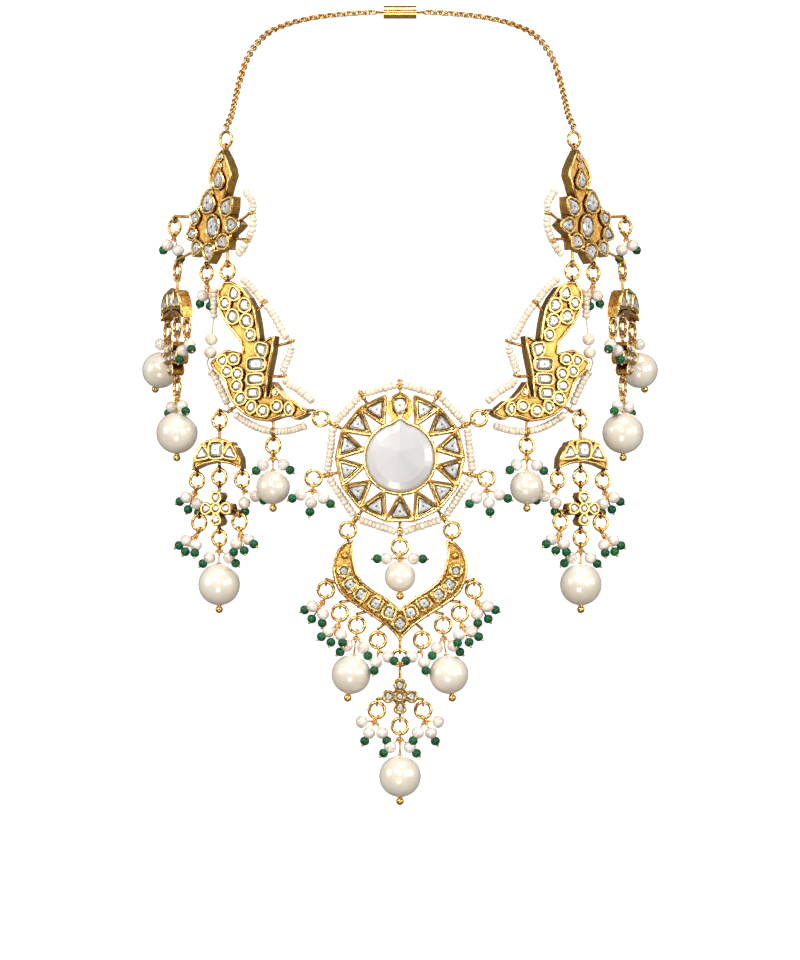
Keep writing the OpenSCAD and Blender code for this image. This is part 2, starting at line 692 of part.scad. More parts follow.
module moon_rings(sides) {
    link_ring(moon_mid_ring);
    link_ring(rosette_origin + rosette_ring);
    for (side = [-1, 1]) {
        link_ring([side*moon_side_ring[0], moon_side_ring[1]]);
        if (sides) link_ring(rosette_origin + [side*rosette_side_ring[0], rosette_side_ring[1]]);
    }
}

module moon_clusters(sides) {
    left_ring = [-moon_side_ring[0], moon_side_ring[1]];
    pin(rosette_origin + rosette_ring, 0, moon_pearl_d, 5.6, 50, true);
    cluster(moon_side_ring, sides ? 24.5 : 27, sides ? -28 : 14, 2, 2);
    if (sides) {
        cluster(left_ring, -34, -16, 2, 3);
        for (side = [0, 1]) mirror([side, 0, 0]) cluster(rosette_origin + rosette_side_ring, 26, 22, 2, 3);
    } else {
        pin(left_ring, -34, side_pearl_d, 5.6, 50, false);
    }
}

module moon_pearls(sides) {
    large_pearl(rosette_origin + rosette_ring, 0, moon_pearl_d, 5.6);
    if (!sides) large_pearl([-moon_side_ring[0], moon_side_ring[1]], -34, side_pearl_d, 5.6);
}

module moon_frame() {
    bird_frame() at(moon_ring - [0, link_r]) children();
}

module outer_frame() {
    translate(place(flower_origin, flower_turn, outer_ring - [0, link_r]))
        rotate([0, 0, -outer_turn]) children();
}

module moon_flower() {
    moon_frame() at(rosette_origin) rosette(true, 0);
}

module outer_flower() {
    outer_frame() at(rosette_origin) rosette(false, 0);
}

// Pieces that hang from the collar itself, without a joint
inner_ring = polar(link_reach, down);
side_ring = polar(link_reach, -13);

module both_sides() {
    for (side = [0, 1]) mirror([side, 0, 0]) children();
}

module collar_rings() {
    translate(centre) {
        link_ring(inner_ring);
        for (side = [-1, 1], p = [polar(link_reach, -54), side_ring, [-bird_link[0], bird_link[1]]]) {
            link_ring([side*p[0], p[1]]);
        }
    }
    both_sides() {
        bird_frame() {
            link_ring(leaf_eyelet + [0, link_r]);
            link_ring(bird_drop_ring);
            link_ring(moon_ring);
        }
        flower_frame() {
            link_ring(stem_eyelet + [0, link_r]);
            for (h = flower_hangers) link_ring(fit([h[0], h[1]], flower_step) - [0, link_r]);
        }
        outer_frame() link_ring([0, link_r]);
    }
}

module collar_clusters() {
    translate(centre) pin(inner_ring, 0, inner_pearl_d, 2, 88, true);
    both_sides() {
        translate(centre) cluster(side_ring, 8, 0, 3, 3);
        bird_frame() pin(bird_drop_ring, 0, bird_pearl_d, 5.4, 52, true);
        flower_frame() {
            cluster(fit([-9, -38], flower_step) - [0, link_r], -4, -16, 2, 3);
            cluster(fit([-43, 12], flower_step) - [0, link_r], -30, -20, 2, 2);
        }
    }
}

module collar_pearls() {
    translate(centre) large_pearl(inner_ring, 0, inner_pearl_d, 2);
    both_sides() bird_frame() large_pearl(bird_drop_ring, 0, bird_pearl_d, 5.4);
}

// Clasp: a plain barrel at the nape, with an eyelet at each end
clasp_eye = [clasp_l/2 + eye_seat, 0];

module clasp() {
    color(gold) translate([0, clasp_d/2, 0]) {
        rotate([0, 90, 0]) cylinder(d = clasp_d, h = clasp_l, center = true);
        both_sides() eyelet(clasp_eye, 0);
    }
}

// Route of the left half of the neck chain, from the flower's ring to the clasp; chosen by hand
chain_start = place(flower_origin, flower_turn, stem_eyelet + [0, 2*link_r + wire_r + 0.3 + chain_d/4]);
chain_end = [-clasp_eye[0] - eye_r - wire_r - 0.3, clasp_d/2, 0];
chain_mid = [[-53.6, -72, -44], [-52.8, -61, -37.5], [-51.6, -50, -29.5], [-49, -39, -20], [-44, -28, -12],
    [-37, -18, -7], [-28, -9.5, -3.5], [-18, -2, -1.2]];
chain_route = concat([chain_start], chain_mid, [chain_end]);
chain_sides = 8;
rings_per_leg = 3;

function blend(a, b, c, d, t) =
    0.5*(2*b + (c - a)*t + (2*a - 5*b + 4*c - d)*t*t + (3*b - a - 3*c + d)*t*t*t);
function route_at(pts, i, t) =
    blend(pts[max(i - 1, 0)], pts[i], pts[i + 1], pts[min(i + 2, len(pts) - 1)], t);
function unit(v) = v/norm(v);
function swept(path, r, sides) =
    [for (i = [0:len(path) - 1])
        let (along = unit(path[min(i + 1, len(path) - 1)] - path[max(i - 1, 0)]),
            side = unit(cross(along, [0.3, 0.2, 1])), over = cross(side, along))
        for (k = [0:sides - 1]) path[i] + r*(side*cos(360*k/sides) + over*sin(360*k/sides))];

module chain() {
    legs = len(chain_route) - 1;
    shares = [for (k = [0:rings_per_leg - 1]) k/rings_per_leg];
    path = concat([for (i = [0:legs - 1], t = shares) route_at(chain_route, i, t)], [chain_end]);
    n = chain_sides;
    last = len(path) - 1;
    faces = concat([[for (k = [n - 1:-1:0]) k]], [[for (k = [0:n - 1]) last*n + k]],
        [for (i = [0:last - 1], k = [0:n - 1])
            [i*n + k, i*n + (k + 1)%n, (i + 1)*n + (k + 1)%n, (i + 1)*n + k]]);
    color(gold) polyhedron(swept(path, chain_d/2, n), faces);
}

clasp();
chain();  // chain_left
mirror([1, 0, 0]) chain();  // chain_right
collar_rings();
collar_clusters();
collar_pearls();
flower();  // flower_left
mirror([1, 0, 0]) flower();  // flower_right
flower_stones();  // flower_stones_left
mirror([1, 0, 0]) flower_stones();  // flower_stones_right
flower_string();  // flower_string_left
mirror([1, 0, 0]) flower_string();  // flower_string_right
bird();  // bird_left
mirror([1, 0, 0]) bird();  // bird_right
bird_stones();  // bird_stones_left
mirror([1, 0, 0]) bird_stones();  // bird_stones_right
bird_strings();  // bird_strings_left
mirror([1, 0, 0]) bird_strings();  // bird_strings_right
medallion();
centre_stone();
medallion_stones();
medallion_string();
crescent();
crescent_stones();
crescent_rings();
crescent_clusters();
crescent_pearls();
centre_flower();
centre_flower_stones();
centre_rings();
centre_clusters();
centre_pearl();
moon_frame() moon();  // moon_left
moon_flower();  // moon_rosette_left
moon_frame() moon_stones();  // moon_stones_left
moon_frame() moon_rings(true);  // moon_rings_left
moon_frame() moon_clusters(true);  // moon_clusters_left
moon_frame() moon_pearls(true);  // moon_pearl_left
mirror([1, 0, 0]) moon_frame() moon();  // moon_right
mirror([1, 0, 0]) moon_flower();  // moon_rosette_right
mirror([1, 0, 0]) moon_frame() moon_stones();  // moon_stones_right
mirror([1, 0, 0]) moon_frame() moon_rings(true);  // moon_rings_right
mirror([1, 0, 0]) moon_frame() moon_clusters(true);  // moon_clusters_right
mirror([1, 0, 0]) moon_frame() moon_pearls(true);  // moon_pearl_right
outer_frame() moon();  // outer_moon_left
outer_flower();  // outer_rosette_left
outer_frame() moon_stones();  // outer_stones_left
outer_frame() moon_rings(false);  // outer_rings_left
outer_frame() moon_clusters(false);  // outer_clusters_left
outer_frame() moon_pearls(false);  // outer_pearls_left
mirror([1, 0, 0]) outer_frame() moon();  // outer_moon_right
mirror([1, 0, 0]) outer_flower();  // outer_rosette_right
mirror([1, 0, 0]) outer_frame() moon_stones();  // outer_stones_right
mirror([1, 0, 0]) outer_frame() moon_rings(false);  // outer_rings_right
mirror([1, 0, 0]) outer_frame() moon_clusters(false);  // outer_clusters_right
mirror([1, 0, 0]) outer_frame() moon_pearls(false);  // outer_pearls_right
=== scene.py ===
# Looks of the kundan necklace, built around its solids. Lengths below are in millimetres.
import math
import random

import bpy
import numpy as np
from mathutils import Matrix, Vector


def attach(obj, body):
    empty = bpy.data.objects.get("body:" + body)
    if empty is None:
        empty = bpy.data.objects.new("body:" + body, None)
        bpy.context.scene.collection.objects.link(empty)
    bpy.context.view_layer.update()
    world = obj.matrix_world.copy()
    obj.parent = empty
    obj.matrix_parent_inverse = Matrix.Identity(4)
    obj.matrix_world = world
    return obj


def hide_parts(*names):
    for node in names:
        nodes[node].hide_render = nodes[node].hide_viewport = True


MM = 0.001
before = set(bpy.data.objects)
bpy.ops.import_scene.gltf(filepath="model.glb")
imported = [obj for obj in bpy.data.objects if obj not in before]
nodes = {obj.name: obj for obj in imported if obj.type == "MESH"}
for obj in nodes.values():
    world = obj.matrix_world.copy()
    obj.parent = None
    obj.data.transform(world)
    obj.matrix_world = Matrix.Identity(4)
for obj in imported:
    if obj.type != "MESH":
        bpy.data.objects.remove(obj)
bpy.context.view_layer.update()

# Sizes that the solids share
LINK_R, EYE_R, WIRE_R = 2.45, 1.0, 0.35
SEED_R, PEARL_R, GREEN_R, BALL_R = 1.25, 2.0, 1.5, 1.2
CENTRE_PEARL, CRESCENT_PEARL, MOON_PEARL = 13, 12.2, 13.2
SIDE_PEARL, BIRD_PEARL, INNER_PEARL = 11.6, 10.6, 9.6
# How far each large pearl hangs below its loop
CENTRE_RISE, CRESCENT_RISE, MOON_RISE, BIRD_RISE, INNER_RISE = 6.6, 7, 5.6, 5.4, 2
PIN_R, THREAD_R = 0.3, 0.25
# The jump rings' wire is stouter here than in the solids
RING_WIRE_R = 0.54
PEARL_REACH, GREEN_REACH = 4.3, 7.15
STRAND_STEP, STRAND_TILT = 58, 6
FRONT, PLATE = -2.3, -1.7
CENTRE_AT = (0, -95, -155)
BIRD_TURN, FLOWER_TURN, OUTER_TURN = 26, 40, 65
BIRD_STEP = (36.5/105, 42.2/135)
FLOWER_STEP = (24/59, 35.9/115)
CRESCENT_STEP = (42.2/135, 32.2/103)


def polar(r, deg):
    return Vector((r*math.cos(math.radians(deg)), r*math.sin(math.radians(deg))))


def fit(x, z, step):
    return Vector((x*step[0], z*step[1]))


def move(v):
    return Matrix.Translation(v)


def at(p, y=0.0):
    return Matrix.Translation((p[0], y, p[1]))


def turn(deg, axis):
    return Matrix.Rotation(math.radians(deg), 4, axis)


# Places of the motifs, as in the solids
POST_OUT, LUG_OUT, TIP_ARM, CENTRE_STEM = 1.8, 1.8, 1.8, 2
SETTING_OUT, POST_SPREAD = 20.5, 20.5
STRING_R = (SETTING_OUT + SEED_R + 0.15)/math.cos(math.radians(POST_SPREAD))
LINK_REACH = STRING_R + POST_OUT + 0.1 + LINK_R
EYE_SEAT = EYE_R - 0.1
CENTRE = move(CENTRE_AT)
BIRD_LINK = polar(LINK_REACH, 153)
BIRD_HOLE = BIRD_LINK + polar(LINK_R, 133)
BIRD = CENTRE @ at(BIRD_HOLE) @ turn(-BIRD_TURN, "Z")
LEAF_EYELET = fit(-90, 135, BIRD_STEP) + Vector((0, EYE_SEAT))
FLOWER_EYELET = fit(13, -38, FLOWER_STEP)
FLOWER_HOLE = (BIRD @ at(LEAF_EYELET + Vector((0, 2*LINK_R)))).translation
FLOWER = move(FLOWER_HOLE) @ turn(-FLOWER_TURN, "Z") @ at(-FLOWER_EYELET)
OUTER_RING = fit(-40, -33, FLOWER_STEP) - Vector((0, LINK_R))
OUTER = move((FLOWER @ at(OUTER_RING - Vector((0, LINK_R)))).translation) @ turn(-OUTER_TURN, "Z")
MOON_EYELET = fit(-98, 3, BIRD_STEP)
MOON = BIRD @ at(MOON_EYELET - Vector((0, 2*LINK_R)))
HINGE_Z = polar(LINK_REACH, -54)[1] - LINK_R
CRESCENT = CENTRE @ at((0, HINGE_Z))
TIP = Vector((0, -32.2 - EYE_R - LINK_R - TIP_ARM))
DROP = CRESCENT @ at(TIP - Vector((0, LINK_R)))
DROP_LOW = DROP @ at((0, -CENTRE_STEM))
MIRROR = Matrix.Diagonal((-1, 1, 1, 1))


# Mesh building
class Builder:
    """Gathers faces, each with a material number, and makes one object of them."""

    def __init__(self):
        self.verts, self.faces, self.mats = [], [], []

    def add(self, verts, faces, mat=0, place=None):
        base = len(self.verts)
        flip = place is not None and place.determinant() < 0
        for v in verts:
            self.verts.append(place @ Vector(v) if place is not None else Vector(v))
        for f in faces:
            self.faces.append([base + i for i in (reversed(f) if flip else f)])
            self.mats.append(mat)

    def make(self, name, materials, smooth=True, sharp=None):
        mesh = bpy.data.meshes.new(name)
        mesh.from_pydata([v*MM for v in self.verts], [], self.faces)
        for m in materials:
            mesh.materials.append(m)
        mesh.polygons.foreach_set("material_index", self.mats)
        mesh.polygons.foreach_set("use_smooth", [smooth]*len(self.faces))
        if sharp is not None:
            mesh.set_sharp_from_angle(angle=math.radians(sharp))
        mesh.update()
        obj = bpy.data.objects.new(name, mesh)
        bpy.context.scene.collection.objects.link(obj)
        return obj


def lathe(profile, sides):
    """Solid of revolution about Z from (radius, z) points that start and end on the axis."""
    verts, faces = [(0, 0, profile[0][1])], []
    rings = profile[1:-1]
    for r, z in rings:
        for k in range(sides):
            a = 2*math.pi*k/sides
            verts.append((r*math.cos(a), r*math.sin(a), z))
    verts.append((0, 0, profile[-1][1]))
    last = len(verts) - 1
    for k in range(sides):
        n = (k + 1) % sides
        faces.append([0, 1 + n, 1 + k])
        for i in range(len(rings) - 1):
            a, b = 1 + i*sides, 1 + (i + 1)*sides
            faces.append([a + k, a + n, b + n, b + k])
        a = 1 + (len(rings) - 1)*sides
        faces.append([a + k, a + n, last])
    return verts, faces


def ball(r, rings=8, squash=1.0):
    return [(r*math.sin(math.pi*i/rings), -r*squash*math.cos(math.pi*i/rings)) for i in range(rings + 1)]


def frame_along(a, b):
    """Placement whose Z runs from a to b, with its origin at a."""
    d = (Vector(b) - Vector(a)).normalized()
    return Matrix.Translation(a) @ d.to_track_quat("Z", "Y").to_matrix().to_4x4()


def tube(points, r, sides, closed=False):
    """Round wire through points."""
    n = len(points)
    pts = [Vector(p) for p in points]
    verts, faces = [], []
    side = None
    for i, p in enumerate(pts):
        before = pts[(i - 1) % n] if closed or i else p
        after = pts[(i + 1) % n] if closed or i < n - 1 else p
        along = (after - before).normalized()
        if side is None:
            side = along.orthogonal().normalized()
        side = (side - along*side.dot(along)).normalized()
        over = along.cross(side)
        for k in range(sides):
            a = 2*math.pi*k/sides
            verts.append(p + r*(side*math.cos(a) + over*math.sin(a)))
    for i in range(n if closed else n - 1):
        j = (i + 1) % n
        for k in range(sides):
            m = (k + 1) % sides
            faces.append([i*sides + k, i*sides + m, j*sides + m, j*sides + k])
    if not closed:
        faces.append(list(range(sides))[::-1])
        faces.append([(n - 1)*sides + k for k in range(sides)])
    return verts, faces


def rounded(pts):
    """Closed outline with each corner cut off."""
    cut = 0.22
    out = []
    for i, p in enumerate(pts):
        q = pts[(i + 1) % len(pts)]
        out += [p*(1 - cut) + q*cut, p*cut + q*(1 - cut)]
    return out


def outward(pts):
    """Outward unit vectors of a closed outline."""
    centre = sum(pts, Vector((0, 0)))/len(pts)
    out = []
    for i, p in enumerate(pts):
        t = pts[(i + 1) % len(pts)] - pts[i - 1]
        n = Vector((t[1], -t[0])).normalized()
        out.append(n if n.dot(p - centre) > 0 else -n)
    return out


def loft(builder, rings, mat, place, tones=None):
    """Faces between closed rings of (x, y, z) points; tones gives each band its row of material numbers."""
    n = len(rings[0])
    verts = [p for ring in rings for p in ring]
    for j in range(len(rings) - 1):
        for i in range(n):
            k = (i + 1) % n
            m = mat if tones is None else tones[j][i % len(tones[j])]
            quad = [verts[j*n + i], verts[j*n + k], verts[(j + 1)*n + k], verts[(j + 1)*n + i]]
            builder.add(quad, [[0, 1, 2, 3]], m, place)


# Materials
def material(name, color, rough, metal=0.0, coat=0.0, **more):
    mat = bpy.data.materials.new(name)
    mat.use_nodes = True
    shader = mat.node_tree.nodes["Principled BSDF"]
    shader.inputs["Base Color"].default_value = (*color, 1)
    shader.inputs["Roughness"].default_value = rough
    shader.inputs["Metallic"].default_value = metal
    shader.inputs["Coat Weight"].default_value = coat
    shader.inputs["Coat Roughness"].default_value = 0.05
    for key, value in more.items():
        shader.inputs[key.replace("_", " ")].default_value = value
    return mat


def add_noise(mat, scale, low, high, bump=0.0, depth=0.00002, rough=None):
    """Mottles the base colour between two tones and roughens the surface a little."""
    tree = mat.node_tree
    shader = tree.nodes["Principled BSDF"]
    coords = tree.nodes.new("ShaderNodeTexCoord")
    noise = tree.nodes.new("ShaderNodeTexNoise")
    noise.inputs["Scale"].default_value = scale
    noise.inputs["Detail"].default_value = 3.0
    ramp = tree.nodes.new("ShaderNodeValToRGB")
    ramp.color_ramp.elements[0].position = 0.32
    ramp.color_ramp.elements[1].position = 0.68
    ramp.color_ramp.elements[0].color = (*low, 1)
    ramp.color_ramp.elements[1].color = (*high, 1)
    tree.links.new(coords.outputs["Object"], noise.inputs["Vector"])
    tree.links.new(noise.outputs["Fac"], ramp.inputs["Fac"])
    tree.links.new(ramp.outputs["Color"], shader.inputs["Base Color"])
    if bump:
        relief = tree.nodes.new("ShaderNodeBump")
        relief.inputs["Strength"].default_value = bump
        relief.inputs["Distance"].default_value = depth
        tree.links.new(noise.outputs["Fac"], relief.inputs["Height"])
        tree.links.new(relief.outputs["Normal"], shader.inputs["Normal"])
    if rough:
        spread = tree.nodes.new("ShaderNodeMapRange")
        spread.inputs["To Min"].default_value = rough[0]
        spread.inputs["To Max"].default_value = rough[1]
        tree.links.new(noise.outputs["Fac"], spread.inputs["Value"])
        tree.links.new(spread.outputs["Result"], shader.inputs["Roughness"])
    return ramp


def add_painted_recess_shade(mat, ramp, dark, reach):
    """Painted shade: deepens the colour where the metal is close to other metal, as in recesses."""
    tree = mat.node_tree
    shader = tree.nodes["Principled BSDF"]
    hollow = tree.nodes.new("ShaderNodeAmbientOcclusion")
    hollow.samples = 4
    hollow.inputs["Distance"].default_value = reach*MM
    curve = tree.nodes.new("ShaderNodeMapRange")
    curve.inputs["From Min"].default_value = 0.4
    curve.inputs["From Max"].default_value = 0.97
    mix = tree.nodes.new("ShaderNodeMix")
    mix.data_type = "RGBA"
    mix.inputs["A"].default_value = (*dark, 1)
    tree.links.new(hollow.outputs["AO"], curve.inputs["Value"])
    tree.links.new(curve.outputs["Result"], mix.inputs["Factor"])
    tree.links.new(ramp.outputs["Color"], mix.inputs["B"])
    tree.links.new(mix.outputs["Result"], shader.inputs["Base Color"])


gold = material("gold", (0.88, 0.52, 0.12), 0.26, 1.0)
# Plate gold, with painted shade darkening it in its recesses
add_painted_recess_shade(gold, add_noise(gold, 900, (0.6, 0.3, 0.055), (0.84, 0.52, 0.15), 0.4, 0.00014, (0.2, 0.38)),
           (0.13, 0.035, 0.006), 2.8)
# Gold of raised rims and walls: its smoother polish is real, its lighter colour than the plate gold is a
# painted highlight
polished_rim_gold_painted_light = material("polished_rim_gold_painted_light", (0.94, 0.62, 0.18), 0.2, 1.0)
add_noise(polished_rim_gold_painted_light, 700, (0.78, 0.45, 0.12), (0.95, 0.68, 0.28), 0.4, 0.00012, (0.12, 0.28))
wire_gold = material("wire_gold", (0.92, 0.55, 0.14), 0.17, 1.0)
add_noise(wire_gold, 900, (0.72, 0.36, 0.08), (0.94, 0.62, 0.22), 0.3, 0.00006, (0.1, 0.24))
# Lighter and darker copies of one stone material for its facets: painted highlights, painted reflections and
# painted shade; the mottling in each is random tone
stone_painted_highlight = material("stone_painted_highlight", (0.7, 0.72, 0.75), 0.06, 0.2, 1.0)
add_noise(stone_painted_highlight, 900, (0.5, 0.51, 0.53), (0.86, 0.87, 0.89))
stone_painted_light_tone = material("stone_painted_light_tone", (0.55, 0.55, 0.55), 0.07, 0.3, 1.0)
add_noise(stone_painted_light_tone, 1100, (0.34, 0.33, 0.32), (0.74, 0.74, 0.74))
stone_painted_mid_tone = material("stone_painted_mid_tone", (0.36, 0.34, 0.31), 0.08, 0.35, 1.0)
add_noise(stone_painted_mid_tone, 1100, (0.22, 0.2, 0.16), (0.55, 0.53, 0.5))
stone_painted_shade = material("stone_painted_shade", (0.14, 0.12, 0.09), 0.08, 0.4, 1.0)
add_noise(stone_painted_shade, 1000, (0.08, 0.06, 0.04), (0.24, 0.2, 0.14))
# Painted dark reflection in the middle of a stone's table
stone_painted_dark_reflection = material("stone_painted_dark_reflection", (0.06, 0.06, 0.1), 0.06, 0.3, 1.0)
add_noise(stone_painted_dark_reflection, 1200, (0.02, 0.02, 0.05), (0.22, 0.23, 0.32))
milky = material("milky_stone", (0.55, 0.54, 0.55), 0.2, 0.0, 0.5, Subsurface_Weight=0.2,
                 Subsurface_Scale=0.004)
add_noise(milky, 60, (0.49, 0.48, 0.49), (0.61, 0.6, 0.6))
nacre = material("nacre", (0.83, 0.78, 0.67), 0.3, 0.12, 0.5, Subsurface_Weight=0.1, Subsurface_Scale=0.002)
add_noise(nacre, 110, (0.74, 0.66, 0.53), (0.85, 0.8, 0.71), 0.05, 0.00002, (0.18, 0.28))
small_nacre = material("small_nacre", (0.8, 0.73, 0.66), 0.26, 0.1, 0.6, Subsurface_Weight=0.1,
                       Subsurface_Scale=0.001)
add_noise(small_nacre, 400, (0.64, 0.55, 0.46), (0.9, 0.84, 0.77), 0.12, 0.00004, (0.16, 0.3))
seed_nacre = material("seed_nacre", (0.75, 0.6, 0.45), 0.3, 0.0, 0.5, Subsurface_Weight=0.15,
                      Subsurface_Scale=0.001)
add_noise(seed_nacre, 500, (0.66, 0.51, 0.36), (0.95, 0.85, 0.7), 0.15, 0.00004, (0.22, 0.4))
emerald = material("emerald", (0.0, 0.08, 0.03), 0.16, 0.0, 0.12, Specular_IOR_Level=0.3)
add_noise(emerald, 420, (0.0, 0.045, 0.012), (0.0, 0.12, 0.036))
cotton = material("thread", (0.6, 0.48, 0.3), 0.75)
add_noise(cotton, 2500, (0.5, 0.38, 0.22), (0.74, 0.62, 0.42), 0.5, 0.00005)


# Beads that stand in for the fused solids
rng = random.Random(7)
BEAD_SIDES, BEAD_RINGS = 14, 8
LOOP_STEPS = 14
COIL_STEPS, COIL_PITCH, COIL_WIRE_R = 8, 0.34, 0.17
STEM_COIL_R, PIN_COIL_R = 0.38, 0.46
# Place and size of the gold tip under a green bead
BEAD_TIP_GAP, BEAD_TIP_R = 0.1, 0.45


def add_ball(builder, p, r, mat, place, sides=BEAD_SIDES, rings=BEAD_RINGS, squash=1.0):
    builder.add(*lathe(ball(r, rings, squash), sides), mat, place @ move(p))


def add_wire(builder, a, b, r, mat, place, sides=6):
    builder.add(*tube([a, b], r, sides), mat, place)


def circle(r, steps):
    """Points round the origin, the first one not repeated."""
    return [polar(r, 360*k/steps) for k in range(steps)]


def add_loop(builder, place):
    """Loop that stands in the plane of Y and Z, at the top of a pin or a fan of strands."""
    builder.add(*tube([(0, p[0], p[1]) for p in circle(EYE_R, LOOP_STEPS)], WIRE_R, 6, True), 2, place)


def add_coil(builder, top, turns, r, place):
    """Wraps of fine wire round a stem, from a height down."""
    spin = frame_along((0, 0, top), (0, 0, top - 1))
    pts = [(*polar(r, 360*k/COIL_STEPS), COIL_PITCH*k/COIL_STEPS) for k in range(COIL_STEPS*turns + 1)]
    builder.add(*tube(pts, COIL_WIRE_R, 5), 2, place @ spin)


def strand(builder, place, angle, tilt, with_pearl, with_green):
    """Wire from a loop's lowest point, with a small pearl, a green bead with a gold tip, or both."""
    spot = place @ move((0, 0, -EYE_R)) @ turn(-angle, "Y") @ turn(tilt, "X")
    reach = GREEN_REACH if with_green else PEARL_REACH
    add_wire(builder, (0, 0, 0), (0, 0, -reach), PIN_R*0.85, 2, spot)
    add_coil(builder, -0.35, 3, STEM_COIL_R, spot)
    if with_pearl:
        add_ball(builder, (0, 0, -PEARL_REACH), PEARL_R*rng.uniform(0.97, 1.0), 0, spot,
                 squash=rng.uniform(0.93, 0.98))
    else:
        add_coil(builder, -1.4, 5, STEM_COIL_R, spot)
    if with_green:
        add_ball(builder, (0, 0, -GREEN_REACH), GREEN_R, 1, spot, squash=0.95)
        add_ball(builder, (0, 0, -GREEN_REACH - GREEN_R - BEAD_TIP_GAP), BEAD_TIP_R, 2, spot, 10, 6)


def hang(ring, lean, tilt):
    """Place of what hangs in a jump ring: lean turns it in the plane of the motif, tilt out of it."""
    return at(Vector(ring) - Vector((0, LINK_R))) @ turn(-lean, "Y") @ turn(-tilt, "X")


def cluster(builder, place, ring, lean, tilt, pearls, greens):
    """Fan of strands under a loop; a green bead more than the pearls hangs between them."""
    spot = place @ hang(ring, lean, tilt)
    add_loop(builder, spot)
    for i in range(pearls):
        swing = STRAND_TILT if i % 2 else -STRAND_TILT
        strand(builder, spot, STRAND_STEP*(i - (pearls - 1)/2), swing, True, i < greens)
    if greens > pearls:
        strand(builder, spot, 0, 0, False, True)


# Profiles of the gold caps under and over a large pearl
FOOT_CAP = [(0, -0.3), (0.95, -0.12), (0.75, 0.1), (0, 0.12)]
HEAD_CAP = [(0, -0.2), (0.95, 0), (0.7, 0.3), (0, 0.4)]


def pin(builder, place, ring, lean, d, rise, side, with_green):
    """Head pin for a large pearl, with a strand at each side of it."""
    spot = place @ hang(ring, lean, 0)
    add_loop(builder, spot)
    for flip in (-1, 1):
        strand(builder, spot, flip*side, flip*STRAND_TILT, True, with_green)
    end = -rise - d - 0.1 - BALL_R
    add_wire(builder, (0, 0, -EYE_R), (0, 0, end), PIN_R, 2, spot, 8)
    add_coil(builder, -EYE_R - 0.2, 4, PIN_COIL_R, spot)
    add_ball(builder, (0, 0, end), BALL_R, 2, spot, 16, 10)
    builder.add(*lathe(FOOT_CAP, BEAD_SIDES), 2, spot @ move((0, 0, end + BALL_R)))
    builder.add(*lathe(HEAD_CAP, BEAD_SIDES), 2, spot @ move((0, 0, -rise)))


def large_pearl(builder, place, ring, lean, d, rise):
    """Pearl with a dimple at each end of its drill hole."""
    r, hole, dimple, steps = d/2, 0.42, 0.5, 18
    start = math.asin(hole/r)
    profile = [(0, -r + dimple + 0.2), (hole, -r + dimple)]
    for i in range(steps + 1):
        a = start + (math.pi - 2*start)*i/steps
        profile.append((r*math.sin(a), -r*math.cos(a)))
    profile += [(hole, r - dimple), (0, r - dimple - 0.2)]
    spot = place @ hang(ring, lean, 0) @ move((0, 0, -rise - r))
    builder.add(*lathe(profile, 32), 0, spot)


def finish(obj, body, node=None):
    """Puts a piece on its body and hides the node that it replaces, if any."""
    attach(obj, body)
    if node:
        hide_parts(node)


def finish_cluster(builder, name, body, node):
    finish(builder.make(name, [small_nacre, emerald, wire_gold]), body, node)


def finish_pearls(builder, name, body, node):
    finish(builder.make(name, [nacre]), body, node)


SIDES = (Matrix.Identity(4), MIRROR)
INNER_RING = polar(LINK_REACH, -90)
SIDE_RING = polar(LINK_REACH, -13)
BIRD_DROP_RING = fit(-43, -18, BIRD_STEP) - Vector((0, LUG_OUT + LINK_R + 0.1))
ROSETTE_DROP, ROSETTE_REACH, ROSETTE_ARM = 7.6, 5, 1.8
ROSETTE_RING = Vector((0, -ROSETTE_DROP - (ROSETTE_REACH + EYE_R + 0.8) - LINK_R))
ROSETTE_SIDE = Vector((7.2, -ROSETTE_DROP - ROSETTE_ARM - LINK_R))
MOON_W, MOON_H = 17.5, 10
MOON_TOP = EYE_SEAT + 2.2
MOON_SIDE = Vector((MOON_W*0.46, -MOON_TOP - MOON_H - EYE_SEAT - LINK_R))
MOON_MID = Vector((0, -MOON_TOP - MOON_H*0.9 - EYE_SEAT - LINK_R))
ROSETTE_AT = MOON_MID - Vector((0, LINK_R))


def collar_beads():
    beads, pearls = Builder(), Builder()
    pin(beads, CENTRE, INNER_RING, 0, INNER_PEARL, INNER_RISE, 88, True)
    large_pearl(pearls, CENTRE, INNER_RING, 0, INNER_PEARL, INNER_RISE)
    for s in SIDES:
        cluster(beads, s @ CENTRE, SIDE_RING, 8, 0, 3, 3)
        pin(beads, s @ BIRD, BIRD_DROP_RING, 0, BIRD_PEARL, BIRD_RISE, 52, True)
        large_pearl(pearls, s @ BIRD, BIRD_DROP_RING, 0, BIRD_PEARL, BIRD_RISE)
        down = Vector((0, LINK_R))
        cluster(beads, s @ FLOWER, fit(-9, -38, FLOWER_STEP) - down, -4, -16, 2, 3)
        cluster(beads, s @ FLOWER, fit(-43, 12, FLOWER_STEP) - down, -30, -20, 2, 2)
    finish_cluster(beads, "collar_bead_clusters", "collar", "collar_clusters")
    finish_pearls(pearls, "collar_large_pearls", "collar", "collar_pearls")


def crescent_beads():
    beads, pearls = Builder(), Builder()
    places = [fit(x, z, CRESCENT_STEP) for x, z in ((74, -52), (60, -75), (43, -87), (22, -102))]
    for s in SIDES:
        cluster(beads, s @ CRESCENT, places[0], 34, -14, 2, 3)
        cluster(beads, s @ CRESCENT, places[1], 22, 26, 2, 3)
        pin(beads, s @ CRESCENT, places[2], 8, CRESCENT_PEARL, CRESCENT_RISE, 38, True)
        cluster(beads, s @ CRESCENT, places[3], -19, 34, 2, 2)
        large_pearl(pearls, s @ CRESCENT, places[2], 8, CRESCENT_PEARL, CRESCENT_RISE)
    finish_cluster(beads, "crescent_bead_clusters", "crescent_pendant", "crescent_clusters")
    finish_pearls(pearls, "crescent_large_pearls", "crescent_pendant", "crescent_pearls")


